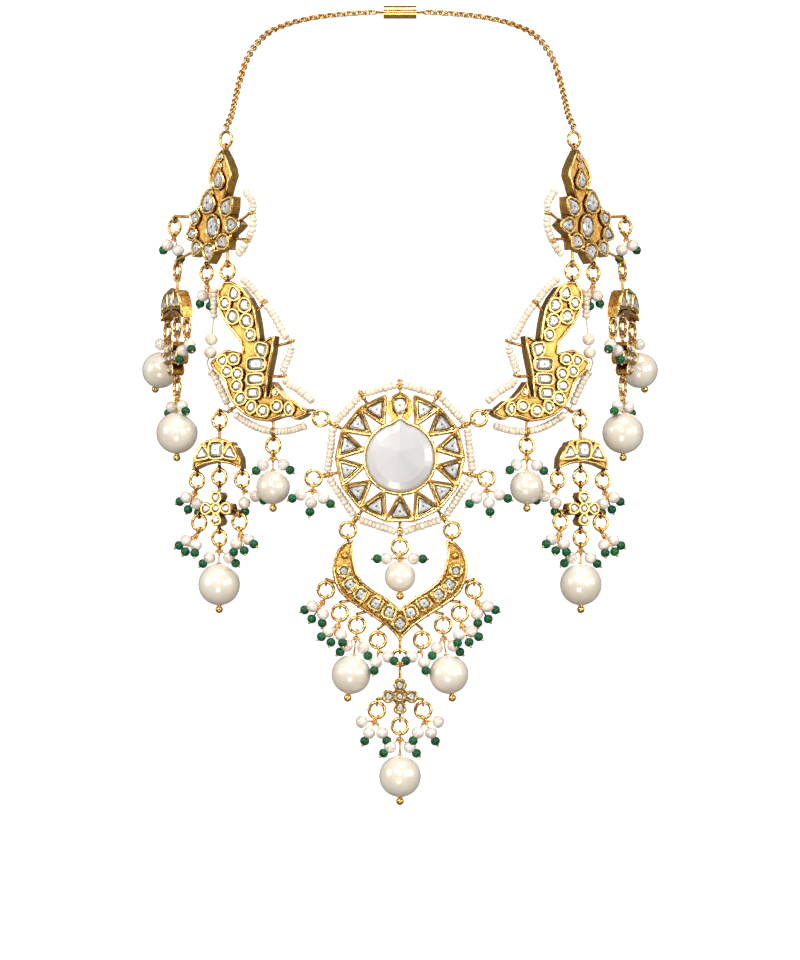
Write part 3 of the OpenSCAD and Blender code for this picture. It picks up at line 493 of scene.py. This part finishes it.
def centre_beads():
    beads, pearls = Builder(), Builder()
    pin(beads, DROP_LOW, ROSETTE_RING, 0, CENTRE_PEARL, CENTRE_RISE, 46, True)
    large_pearl(pearls, DROP_LOW, ROSETTE_RING, 0, CENTRE_PEARL, CENTRE_RISE)
    for s in SIDES:
        cluster(beads, DROP_LOW @ s, ROSETTE_SIDE, 28, 0, 3, 2)
    finish_cluster(beads, "centre_bead_clusters", "centre_drop", "centre_clusters")
    finish_pearls(pearls, "centre_large_pearl", "centre_drop", "centre_pearl")


def moon_beads(side, s, inner):
    """Beads of a half-moon drop: the inner one hangs under a bird, the outer one under a flower."""
    place = s @ (MOON if inner else OUTER)
    beads, pearls = Builder(), Builder()
    left = Vector((-MOON_SIDE[0], MOON_SIDE[1]))
    pin(beads, place, ROSETTE_AT + ROSETTE_RING, 0, MOON_PEARL, MOON_RISE, 50, True)
    large_pearl(pearls, place, ROSETTE_AT + ROSETTE_RING, 0, MOON_PEARL, MOON_RISE)
    cluster(beads, place, MOON_SIDE, 24.5 if inner else 27, -28 if inner else 14, 2, 2)
    if inner:
        cluster(beads, place, left, -34, -16, 2, 3)
        for t in SIDES:
            cluster(beads, place @ t, ROSETTE_AT + ROSETTE_SIDE, 26, 22, 2, 3)
    else:
        pin(beads, place, left, -34, SIDE_PEARL, MOON_RISE, 50, False)
        large_pearl(pearls, place, left, -34, SIDE_PEARL, MOON_RISE)
    body = f"{side}_drop" if inner else f"{side}_outer_drop"
    prefix = "moon" if inner else "outer"
    finish_cluster(beads, f"{prefix}_bead_clusters_{side}", body, f"{prefix}_clusters_{side}")
    finish_pearls(pearls, f"{prefix}_large_pearls_{side}", body,
                  f"moon_pearl_{side}" if inner else f"outer_pearls_{side}")


# Strings of seed pearls. Rows hold a bend's place, then how far the pearls stay clear of it, in POST_GAPs
POST_GAP = 0.75
POSTS = [90, 59, 27, -13, -54, -90, -126, -167, 153, 121]
BIRD_RIGHT = [[-75, 138, 0], [-66, 130, 0], [-58, 120, 0], [-52, 112, 1], [-45, 103, 0], [-38, 91, 0],
              [-32, 79, 0], [-25, 72, 2.4], [-25, 64, 0], [-29, 53, 0], [-32, 46, 0], [-33, 38, 1.4],
              [-29, 30, 0], [-20, 25, 0], [-11, 18, 0], [-3, 11, 0]]
BIRD_LOW = [[-10, -13, 0], [-24, -17, 0], [-34, -18, 0], [-43, -18, 1], [-54, -15.5, 0], [-68, -9, 0],
            [-78, -2, 0], [-87, 5, 3], [-91, 14, 0], [-97, 27, 0], [-103, 40, 0], [-108, 45, 0]]
BIRD_HIGH = [[-104, 99, 0], [-104, 116, 0], [-103, 129, 0]]
BEAK = [[-108, 45], [-111, 54], [-107.5, 64], [-106.5, 77.5], [-104, 99]]
FLOWER_ROWS = [[31, 35, 0], [35, 29, 0], [40, 20, 0], [38, 11, 1], [40, 2, 0], [38, -8, 0], [33, -16, 1],
               [30, -23, 0], [24, -30, 0]]
SEED_PITCH = 1.36


def rondelle(r, half):
    """Profile of a short bead with a wide, softly rounded edge."""
    edge = ((0.55, 1.0), (0.85, 0.82), (0.99, 0.36))
    lower = [(r*share, -half*z) for share, z in edge]
    upper = [(r*share, half*z) for share, z in reversed(edge)]
    return [(0, -half*0.9)] + lower + upper + [(0, half*0.9)]


def string_of_seeds(builder, pts, gaps, place):
    """Seed pearls, each a little different, along straight legs between points."""
    for i in range(len(pts) - 1):
        a, b = pts[i], pts[i + 1]
        along = (b - a).normalized()
        start, stop = a + along*POST_GAP*gaps[i], b - along*POST_GAP*gaps[i + 1]
        count = max(1, round((stop - start).length/SEED_PITCH))
        pitch = (stop - start).length/count
        add_wire(builder, (a[0], 0, a[1]), (b[0], 0, b[1]), THREAD_R, 1, place)
        for k in range(count):
            p = start + along*pitch*(k + 0.5)
            jitter = Vector((rng.uniform(-0.06, 0.06), rng.uniform(-0.1, 0.1), rng.uniform(-0.06, 0.06)))
            lean = Vector((along[0] + rng.uniform(-0.1, 0.1), rng.uniform(-0.12, 0.12), along[1]))
            spin = frame_along((0, 0, 0), lean)
            builder.add(*lathe(rondelle(SEED_R*rng.uniform(0.94, 1.03), pitch*0.53), 14), 0,
                        place @ move(Vector((p[0], 0, p[1])) + jitter) @ spin)


def seed_piece(name, node, work):
    builder = Builder()
    work(builder)
    finish(builder.make(name, [seed_nacre, cotton]), "collar", node)


def medallion_seeds(builder):
    pts = [polar(STRING_R, a) for a in POSTS + POSTS[:1]]
    string_of_seeds(builder, pts, [1.7]*len(pts), CENTRE)


def bird_seeds(s):
    def work(builder):
        for rows in (BIRD_RIGHT, BIRD_LOW, BIRD_HIGH):
            pts = [fit(r[0], r[1], BIRD_STEP) for r in rows]
            string_of_seeds(builder, pts, [r[2] for r in rows], s @ BIRD)
        thread = [fit(x, z, BIRD_STEP) for x, z in BEAK]
        for a, b in zip(thread, thread[1:]):
            add_wire(builder, (a[0], 0, a[1]), (b[0], 0, b[1]), THREAD_R, 1, s @ BIRD)
        for p in thread[2:4]:
            add_ball(builder, (p[0], 0, p[1]), PEARL_R, 0, s @ BIRD, squash=0.95)
    return work


def flower_seeds(s):
    def work(builder):
        pts = [fit(r[0], r[1], FLOWER_STEP) for r in FLOWER_ROWS]
        string_of_seeds(builder, pts, [r[2] for r in FLOWER_ROWS], s @ FLOWER)
    return work


# Neck chain of oval links
ROUTE_START = (-55.12, -80.76, -49.41)
ROUTE_END = (-8.05, 2.2, 0)
ROUTE = [ROUTE_START, (-53.6, -72, -44), (-52.8, -61, -37.5), (-51.6, -50, -29.5), (-49, -39, -20),
         (-44, -28, -12), (-37, -18, -7), (-28, -9.5, -3.5), (-18, -2, -1.2), ROUTE_END]
LINK_PITCH = 1.95
CHAIN_HALF_W, CHAIN_HALF_L, CHAIN_WIRE_R, CHAIN_STEPS = 0.85, 1.34, 0.33, 12
CURVE_STEPS = 24


def chain_path():
    """Evenly spaced points along a smooth curve through the route."""
    pts = [Vector(p) for p in ROUTE]
    dense = []
    for i in range(len(pts) - 1):
        a, b, c, d = pts[max(i - 1, 0)], pts[i], pts[i + 1], pts[min(i + 2, len(pts) - 1)]
        for k in range(CURVE_STEPS):
            t = k/CURVE_STEPS
            dense.append(0.5*(2*b + (c - a)*t + (2*a - 5*b + 4*c - d)*t*t + (3*b - a - 3*c + d)*t*t*t))
    dense.append(pts[-1])
    total = sum((q - p).length for p, q in zip(dense, dense[1:]))
    count = round(total/LINK_PITCH)
    out, walked, i = [], 0.0, 0
    for k in range(count + 1):
        goal = total*k/count
        while i < len(dense) - 2 and walked + (dense[i + 1] - dense[i]).length < goal:
            walked += (dense[i + 1] - dense[i]).length
            i += 1
        leg = dense[i + 1] - dense[i]
        out.append(dense[i] + leg*min(1.0, (goal - walked)/leg.length))
    return out


def chain(name, node, s):
    """Oval links, each turned a quarter from the last, so that they pass through each other."""
    builder = Builder()
    path = chain_path()
    for k in range(len(path) - 1):
        a, b = path[k], path[k + 1]
        spin = frame_along((a + b)/2, b) @ turn(45 + 90*(k % 2), "Z")
        pts = [(CHAIN_HALF_W*p[0], 0, CHAIN_HALF_L*p[1]) for p in circle(1, CHAIN_STEPS)]
        builder.add(*tube(pts, CHAIN_WIRE_R, 6, True), 0, s @ spin)
    finish(builder.make(name, [wire_gold]), "collar", node)


# Parts that are found in the solids by their own islands of faces
def islands(node):
    """Corner points of each loose solid of a node, in millimetres."""
    mesh = nodes[node].data
    count = len(mesh.vertices)
    co = np.zeros(count*3)
    mesh.vertices.foreach_get("co", co)
    co = co.reshape(-1, 3)/MM
    keys = {}
    ids = [keys.setdefault(tuple(np.round(p, 3)), len(keys)) for p in co]
    parent = list(range(len(keys)))

    def root(i):
        while parent[i] != i:
            parent[i] = parent[parent[i]]
            i = parent[i]
        return i

    for e in mesh.edges:
        a, b = root(ids[e.vertices[0]]), root(ids[e.vertices[1]])
        parent[a] = b
    groups = {}
    for key, i in keys.items():
        groups.setdefault(root(i), []).append(Vector(key))
    return [groups[k] for k in sorted(groups)]


def girdle(points, local):
    """Outline of a stone at its widest level, and the middle of its table."""
    edge = 0.2
    pts = [local @ p for p in points]
    table = min(p.y for p in pts)
    back = max(p.y for p in pts)
    ring = [Vector((p.x, p.z)) for p in pts if back - edge > p.y > table + edge]
    top = [Vector((p.x, p.z)) for p in pts if p.y <= table + edge]
    centre = sum(top, Vector((0, 0)))/len(top)
    ring.sort(key=lambda p: math.atan2(p[1] - centre[1], p[0] - centre[0]))
    return ring, centre


def level(outline, centre, share, y):
    """Outline shrunk toward its centre, at a depth."""
    return [(centre[0] + (p[0] - centre[0])*share, y, centre[1] + (p[1] - centre[1])*share) for p in outline]


# Painted tones of one stone, from painted highlight through painted shade to the painted dark reflection
STONE_TONES = [stone_painted_highlight, stone_painted_light_tone, stone_painted_mid_tone, stone_painted_shade, stone_painted_dark_reflection]
# Levels of a cut stone, back to front: share of its outline and depth behind the plate's front, then the
# tones of the facets between them, which are painted highlights, painted reflections and painted shade
CUT = ((0.97, 0.75), (1.0, 0.3), (0.82, -0.16), (0.56, -0.5))
CUT_TONES = [[3], [3, 2, 3, 3, 2], [1, 2, 1, 0, 1, 1, 2]]
# Size of the painted dark reflection in the table
DARK_SHARE = 0.2


def cut_stone(builder, outline, centre, place):
    """Brilliant-like cut with painted light: dark edge facets in painted shade, lighter crown, bright table
    with painted highlights and a painted dark reflection in it.
    """
    ring = rounded(outline)
    n = len(ring)
    mid = Vector(centre)
    rings = [level(ring, mid, share, FRONT + y) for share, y in CUT]
    loft(builder, rings, 0, place, tones=CUT_TONES)
    # Painted dark reflection, a little off the middle, ringed by painted highlight
    spot = mid + Vector((rng.uniform(-0.1, 0.1), rng.uniform(-0.05, 0.12)))
    inner = level(ring, mid, DARK_SHARE, FRONT + CUT[-1][1])
    inner = [(p[0]*0.8 + spot[0]*0.2, p[1], p[2]*0.8 + spot[1]*0.2) for p in inner]
    loft(builder, [rings[-1], inner], 0, place, tones=[[0, 0, 0, 1]])
    builder.add(inner, [list(range(n))], 4, place)
    return ring


def bezel(builder, ring, place, offset=0.42, half=0.48, rise=0.42, low=FRONT + 0.02):
    """Rounded gold rim just outside a stone."""
    normals = outward(ring)
    rings = []
    for a in (0, 35, 70, 110, 145, 180):
        shift = offset - half*math.cos(math.radians(a))
        y = low - rise*math.sin(math.radians(a))
        rings.append([(p[0] + m[0]*shift, y, p[1] + m[1]*shift) for p, m in zip(ring, normals)])
    loft(builder, rings, 0, place)


def set_stones(node, body, place, name, rims=True):
    """Replaces a node of stones by finer ones and lays a rounded rim round each."""
    stones, gold_rims = Builder(), Builder()
    local = place.inverted()
    for points in islands(node):
        outline, centre = girdle(points, local)
        if len(outline) < 3:
            continue
        ring = cut_stone(stones, outline, centre, place)
        if rims:
            bezel(gold_rims, ring, place)
    finish(stones.make(name, STONE_TONES, smooth=False), body, node)
    if rims:
        finish(gold_rims.make(name + "_rims", [polished_rim_gold_painted_light]), body)


# Medallion settings, as in the solids
SETTINGS, CENTRE_R = 14, 11.7
SETTING_BASE = SETTING_OUT*math.cos(math.pi/SETTINGS)
SETTING_DEPTH = SETTING_BASE - CENTRE_R + 0.4
SETTING_MID = SETTING_BASE - SETTING_DEPTH*0.36
SETTING_HALF = SETTING_OUT*math.sin(math.pi/SETTINGS) + 0.05


def setting_outline(i, share):
    half = SETTING_HALF*share
    outer = SETTING_MID + (SETTING_BASE - SETTING_MID)*share
    inner = SETTING_MID - SETTING_DEPTH*0.64*share
    if i == 0:
        low, high = SETTING_MID - 2.2, SETTING_MID + 1
        pts = [(outer, -half*0.4), (outer, half*0.4), (high, half*0.8), (low, half*0.9),
               (inner, half*0.4), (inner, -half*0.4), (low, -half*0.9), (high, -half*0.8)]
    else:
        pts = [(outer, -half), (outer, half), (outer - 1.4*share, half*0.98), (inner, half*0.1),
               (inner, -half*0.1), (outer - 1.4*share, -half*0.98)]
    a = 90 - 360*i/SETTINGS
    return [polar(p[0], a) + polar(p[1], a + 90) for p in pts]


def drop_outline(share):
    """Drop with its point toward the centre, for the top setting."""
    round_at, r = SETTING_MID + 0.9, SETTING_HALF*0.55*share
    point = SETTING_MID - SETTING_DEPTH*0.62*share
    pts = [(point, 0)] + [(round_at + polar(r, a)[0], polar(r, a)[1]) for a in range(-115, 116, 23)]
    return [polar(p[0], 90) + polar(p[1], 180) for p in pts]


# Share of the setting's outline and height over the solids, from the stone's edge out
FRAME_STEPS = ((0.6, 0.02), (0.66, -0.06), (0.76, -0.55), (0.82, -0.72), (0.9, -0.74), (0.96, -0.5),
               (0.985, 0.05))


def medallion_frames():
    """Raised frame on each setting, with a slanted wall down to its stone."""
    builder = Builder()
    for i in range(SETTINGS):
        rings = []
        for share, y in FRAME_STEPS:
            outline = setting_outline(i, share) if i else drop_outline(share*1.1)
            rings.append([(p[0], FRONT + y, p[1]) for p in rounded(outline)])
        loft(builder, rings, 0, CENTRE)
    finish(builder.make("medallion_frames", [polished_rim_gold_painted_light], sharp=50), "collar")


CENTRE_SIDES, CENTRE_FACETS, CENTRE_POINT = 30, 6, 1.6
CENTRE_WALL, STONE_GAP = 0.9, 0.12
# Levels of the milky stone, back to front: share of its outline and depth
CENTRE_CUT = ((1, 1.2), (1, 0.2), (0.93, -0.75), (0.74, -1.5))
CENTRE_APEX = -2.4


def centre_outline(r):
    """Round outline with a point at the top."""
    rest = [polar(r, 90 - 360*i/CENTRE_SIDES) for i in range(1, CENTRE_SIDES)]
    return [Vector((0, r + CENTRE_POINT))] + rest


def centre_stone():
    """Milky stone with a low pyramid of large facets, in a rounded rim."""
    builder, rim = Builder(), Builder()
    outline = centre_outline(CENTRE_R - CENTRE_WALL - STONE_GAP)
    rings = [level(outline, Vector((0, 0)), share, FRONT + y) for share, y in CENTRE_CUT]
    loft(builder, rings, 0, CENTRE)
    apex = (0, FRONT + CENTRE_APEX, CENTRE_POINT)
    run = CENTRE_SIDES//CENTRE_FACETS
    for i in range(CENTRE_FACETS):
        edge = [rings[-1][k % CENTRE_SIDES] for k in range(i*run, (i + 1)*run + 1)]
        builder.add([apex] + edge, [list(range(len(edge) + 1))], 0, CENTRE)
    finish(builder.make("centre_milky_stone", [milky], sharp=9), "collar", "centre_stone")
    bezel(rim, rounded(centre_outline(CENTRE_R - CENTRE_WALL)), CENTRE, 0.48, 0.5, 0.55)
    finish(rim.make("centre_rim", [polished_rim_gold_painted_light]), "collar")


BORDER_R, BORDER_INSET, BORDER_SINK = 0.5, 0.4, 0.12


def plate_rims(node, body, place, name):
    """Rounded gold border along the outer edges of a motif's plate."""
    obj = nodes[node]
    mesh = obj.data
    local = place.inverted()
    keys, points = {}, []
    ids = []
    for v in mesh.vertices:
        p = local @ (obj.matrix_world @ v.co/MM)
        key = (round(p.x, 2), round(p.y, 2), round(p.z, 2))
        if key not in keys:
            keys[key] = len(points)
            points.append(p)
        ids.append(keys[key])
    spin = local.to_3x3() @ obj.matrix_world.to_3x3().normalized()
    sides = {}
    for f in mesh.polygons:
        n = (spin @ f.normal).normalized()
        corners = [ids[i] for i in f.vertices]
        depth = sum(points[i].y for i in corners)/len(corners)
        for a, b in zip(corners, corners[1:] + corners[:1]):
            if a != b:
                sides.setdefault((min(a, b), max(a, b)), []).append((n, depth))
    links, inward = {}, {}
    for (a, b), faces in sides.items():
        if len(faces) != 2 or max(abs(points[a].y - PLATE), abs(points[b].y - PLATE)) > 0.06:
            continue
        faces.sort(key=lambda f: f[0].y)
        (n, _), (m, depth) = faces
        if n.y > -0.98 or abs(m.y) > 0.2 or depth < PLATE + 0.1:
            continue
        for i, j in ((a, b), (b, a)):
            links.setdefault(i, []).append(j)
            inward[i] = inward.get(i, Vector((0, 0, 0))) - Vector((m.x, 0, m.z))
    builder = Builder()
    ends = [i for i in links if len(links[i]) != 2] + list(links)
    for first in ends:
        if not links.get(first):
            continue
        run, i = [first], first
        while links.get(i):
            j = links[i].pop()
            links[j].remove(i)
            run.append(j)
            i = j
        closed = run[0] == run[-1]
        spots = []
        for i in run[:-1] if closed else run:
            p = points[i] + inward[i].normalized()*BORDER_INSET
            p.y = PLATE - BORDER_SINK
            if not spots or (p - spots[-1]).length > 0.25:
                spots.append(p)
        if len(spots) > 2:
            builder.add(*tube(spots, BORDER_R, 8, closed), 0, place)
    finish(builder.make(name, [polished_rim_gold_painted_light]), body)


def jump_rings(node, body):
    """Replaces the jump rings of a node by rings of stouter wire, in the same places."""
    builder = Builder()
    for points in islands(node):
        centre = sum(points, Vector((0, 0, 0)))/len(points)
        spread = np.array([[*(p - centre)] for p in points])
        normal = Vector(np.linalg.svd(spread, full_matrices=False)[2][2])
        spin = Matrix.Translation(centre) @ normal.to_track_quat("Z", "Y").to_matrix().to_4x4()
        pts = [(*p, 0) for p in circle(LINK_R, 16)]
        builder.add(*tube(pts, RING_WIRE_R, 6, True), 0, spin)
    finish(builder.make(node + "_wire", [wire_gold]), body, node)


# Profile of a sleeve, in shares of its radius and length
SLEEVE = [(0, 0), (0.6, 0.02), (0.95, 0.12), (1, 0.3), (0.86, 0.5), (1, 0.7), (0.95, 0.88), (0.6, 0.98),
          (0, 1)]


def post_caps(name, body, posts, place):
    """Rounded gold sleeve on each post, where the string of seeds passes it."""
    builder = Builder()
    for p, along, r, low, high in posts:
        a = Vector((p[0], 0, p[1]))
        d = Vector((along[0], 0, along[1]))
        profile = [(r*share, (high - low)*z) for share, z in SLEEVE]
        builder.add(*lathe(profile, 12), 0, place @ frame_along(a + d*low, a + d*high))
    finish(builder.make(name, [polished_rim_gold_painted_light]), body)


TINY_R = 0.95


def tiny_stones(name, body, spots, place):
    """Tiny round stones in rims of their own, straight on a plate."""
    stones, rims = Builder(), Builder()
    for p in spots:
        outline = [p + corner for corner in circle(TINY_R, 8)]
        bezel(rims, cut_stone(stones, outline, p, place), place, 0.2, 0.3, 0.3, FRONT + 0.4)
    finish(stones.make(name, STONE_TONES, smooth=False), body)
    finish(rims.make(name + "_rims", [polished_rim_gold_painted_light]), body)


def crescent_walls():
    """Thin walls across the crescent, between its square stones."""
    builder = Builder()
    for s in SIDES:
        for (x, z), (u, w) in CRESCENT_WALLS:
            a, b = fit(x, z, CRESCENT_STEP), fit(u, w, CRESCENT_STEP)
            ends = [(a[0], FRONT - 0.1, a[1]), (b[0], FRONT - 0.1, b[1])]
            builder.add(*tube(ends, 0.3, 8), 0, s @ CRESCENT)
    finish(builder.make("crescent_cell_walls", [polished_rim_gold_painted_light]), "crescent_pendant")


def dress_solids():
    """Gold, smoothly shaded, for every solid; the ones that are replaced below are hidden there."""
    for name, obj in nodes.items():
        mat = wire_gold if "rings" in name or name == "clasp" else gold
        obj.data.materials.clear()
        obj.data.materials.append(mat)
        obj.data.polygons.foreach_set("use_smooth", [True]*len(obj.data.polygons))
        obj.data.set_sharp_from_angle(angle=math.radians(32))


CRESCENT_WALLS = [((5.5, -68), (15.5, -87)), ((19, -62), (29, -79)), ((32.5, -54), (42.5, -70.5)),
                  ((42, -44.5), (55, -60)), ((45.5, -38), (63.5, -48))]
BIRD_POSTS = [[-52, 112, 40], [-25, 72, 22], [-33, 38, 12], [-43, -18, -90], [-87, 5, 215]]
FLOWER_POSTS = [[38, 11, 0], [33, -16, -22]]
RINGS = {"collar_rings": "collar", "crescent_rings": "crescent_pendant", "centre_rings": "centre_drop"}

dress_solids()
post_caps("medallion_post_sleeves", "collar",
          [(polar(STRING_R, a), polar(1, a), 0.85, -1.9, 1.5) for a in POSTS], CENTRE)
for node, body in RINGS.items():
    jump_rings(node, body)
plate_rims("crescent", "crescent_pendant", CRESCENT, "crescent_border")
crescent_walls()
collar_beads()
crescent_beads()
centre_beads()
for side, s in zip(("left", "right"), SIDES):
    moon_beads(side, s, True)
    moon_beads(side, s, False)
    seed_piece(f"bird_seed_strings_{side}", f"bird_strings_{side}", bird_seeds(s))
    seed_piece(f"flower_seed_string_{side}", f"flower_string_{side}", flower_seeds(s))
    chain(f"neck_chain_{side}", f"chain_{side}", s)
    jump_rings(f"moon_rings_{side}", f"{side}_drop")
    jump_rings(f"outer_rings_{side}", f"{side}_outer_drop")
    plate_rims(f"bird_{side}", "collar", s @ BIRD, f"bird_border_{side}")
    plate_rims(f"flower_{side}", "collar", s @ FLOWER, f"flower_border_{side}")
    plate_rims(f"moon_{side}", f"{side}_drop", s @ MOON, f"moon_border_{side}")
    plate_rims(f"outer_moon_{side}", f"{side}_outer_drop", s @ OUTER, f"outer_moon_border_{side}")
    tiny_stones(f"bird_tiny_stone_{side}", "collar", [fit(-38, 21, BIRD_STEP)], s @ BIRD)
    tiny_stones(f"flower_tiny_stones_{side}", "collar",
                [fit(x, z, FLOWER_STEP) for x, z in ((8, 61), (9, 70))], s @ FLOWER)
    post_caps(f"bird_post_sleeves_{side}", "collar",
              [(fit(x, z, BIRD_STEP), polar(1, a), 0.6, -1.5, 1.4) for x, z, a in BIRD_POSTS], s @ BIRD)
    post_caps(f"flower_post_sleeves_{side}", "collar",
              [(fit(x, z, FLOWER_STEP), polar(1, a), 0.6, -1.5, 1.4) for x, z, a in FLOWER_POSTS], s @ FLOWER)
    set_stones(f"bird_stones_{side}", "collar", s @ BIRD, f"bird_cut_stones_{side}")
    set_stones(f"flower_stones_{side}", "collar", s @ FLOWER, f"flower_cut_stones_{side}")
    set_stones(f"moon_stones_{side}", f"{side}_drop", s @ MOON, f"moon_cut_stones_{side}")
    set_stones(f"outer_stones_{side}", f"{side}_outer_drop", s @ OUTER, f"outer_cut_stones_{side}")
seed_piece("medallion_seed_string", "medallion_string", medallion_seeds)
set_stones("medallion_stones", "collar", CENTRE, "medallion_cut_stones", rims=False)
set_stones("crescent_stones", "crescent_pendant", CRESCENT, "crescent_cut_stones")
set_stones("centre_flower_stones", "centre_drop", DROP, "centre_cut_stones")
medallion_frames()
centre_stone()


# Studio
def stage_piece(name, corners, faces, mat):
    """Piece of the studio that only the camera sees, so it neither lights nor shades the necklace."""
    mesh = bpy.data.meshes.new(name)
    mesh.from_pydata([Vector(c)*MM for c in corners], [], faces)
    mesh.materials.append(mat)
    obj = bpy.data.objects.new(name, mesh)
    obj.visible_diffuse = False
    obj.visible_glossy = False
    obj.visible_shadow = False
    bpy.context.scene.collection.objects.link(obj)


def lamp(name, spot, size, watts, color):
    light = bpy.data.lights.new(name, "AREA")
    light.size = size
    light.energy = watts
    light.color = color
    obj = bpy.data.objects.new(name, light)
    obj.location = spot
    obj.rotation_euler = (AIM - Vector(spot)).to_track_quat("-Z", "Y").to_euler()
    bpy.context.scene.collection.objects.link(obj)


paper = material("paper", (0.9, 0.9, 0.9), 0.9, Emission_Color=(1, 1, 1, 1), Emission_Strength=1.0)
add_noise(paper, 30, (0.88, 0.88, 0.88), (0.92, 0.92, 0.92))
FLOOR_Z, ROOM_TOP, ROOM_R, ROOM_SIDES = -450, 1800, 2600, 32
room = [(ROOM_R*math.cos(2*math.pi*i/ROOM_SIDES), ROOM_R*math.sin(2*math.pi*i/ROOM_SIDES))
        for i in range(ROOM_SIDES)]
stage_piece("floor", [(x, y, FLOOR_Z) for x, y in room], [list(range(ROOM_SIDES))], paper)
wall = [[2*i, 2*i + 1, (2*i + 3) % (2*ROOM_SIDES), (2*i + 2) % (2*ROOM_SIDES)] for i in range(ROOM_SIDES)]
stage_piece("backdrop", [(x, y, z) for x, y in room for z in (FLOOR_Z, ROOM_TOP)], wall, paper)

AIM = Vector((0, -95, -161.8))*MM
WHITE, CREAM, WARM = (1, 1, 1), (1, 0.98, 0.95), (1, 0.95, 0.88)
# Name, place in metres, size, watts and colour
LAMPS = [("key", (-0.35, -0.95, 0.35), 0.34, 5.6, CREAM), ("fill", (0.55, -0.85, -0.05), 0.34, 3.0, WHITE),
         ("top", (0.1, -0.35, 0.6), 0.5, 3.0, WHITE), ("left_side", (-0.95, -0.5, 0.05), 0.5, 3.2, CREAM),
         ("right_side", (0.95, -0.5, 0.05), 0.5, 2.6, CREAM), ("low", (-0.1, -0.8, -0.65), 0.3, 1.8, WARM),
         ("glint", (-0.06, -1.3, 0.02), 0.14, 1.6, WHITE), ("back", (0.15, 0.9, 0.3), 0.5, 2.4, WHITE)]
for row in LAMPS:
    lamp(*row)
world = bpy.data.worlds.new("studio")
world.use_nodes = True
world.node_tree.nodes["Background"].inputs["Color"].default_value = (1, 0.97, 0.93, 1)
world.node_tree.nodes["Background"].inputs["Strength"].default_value = 0.22
bpy.context.scene.world = world
bpy.context.scene.view_settings.view_transform = "Standard"

CAMERA_AWAY, ELEVATION = 1.5, -3
camera = bpy.data.cameras.new("camera")
camera.sensor_fit = "VERTICAL"
camera.sensor_height = 36
camera.lens = 180
camera.clip_end = 20
view = bpy.data.objects.new("camera", camera)
rise = math.radians(ELEVATION)
view.location = AIM + CAMERA_AWAY*Vector((0, -math.cos(rise), math.sin(rise)))
view.rotation_euler = (AIM - view.location).to_track_quat("-Z", "Y").to_euler()
bpy.context.scene.collection.objects.link(view)
bpy.context.scene.camera = view
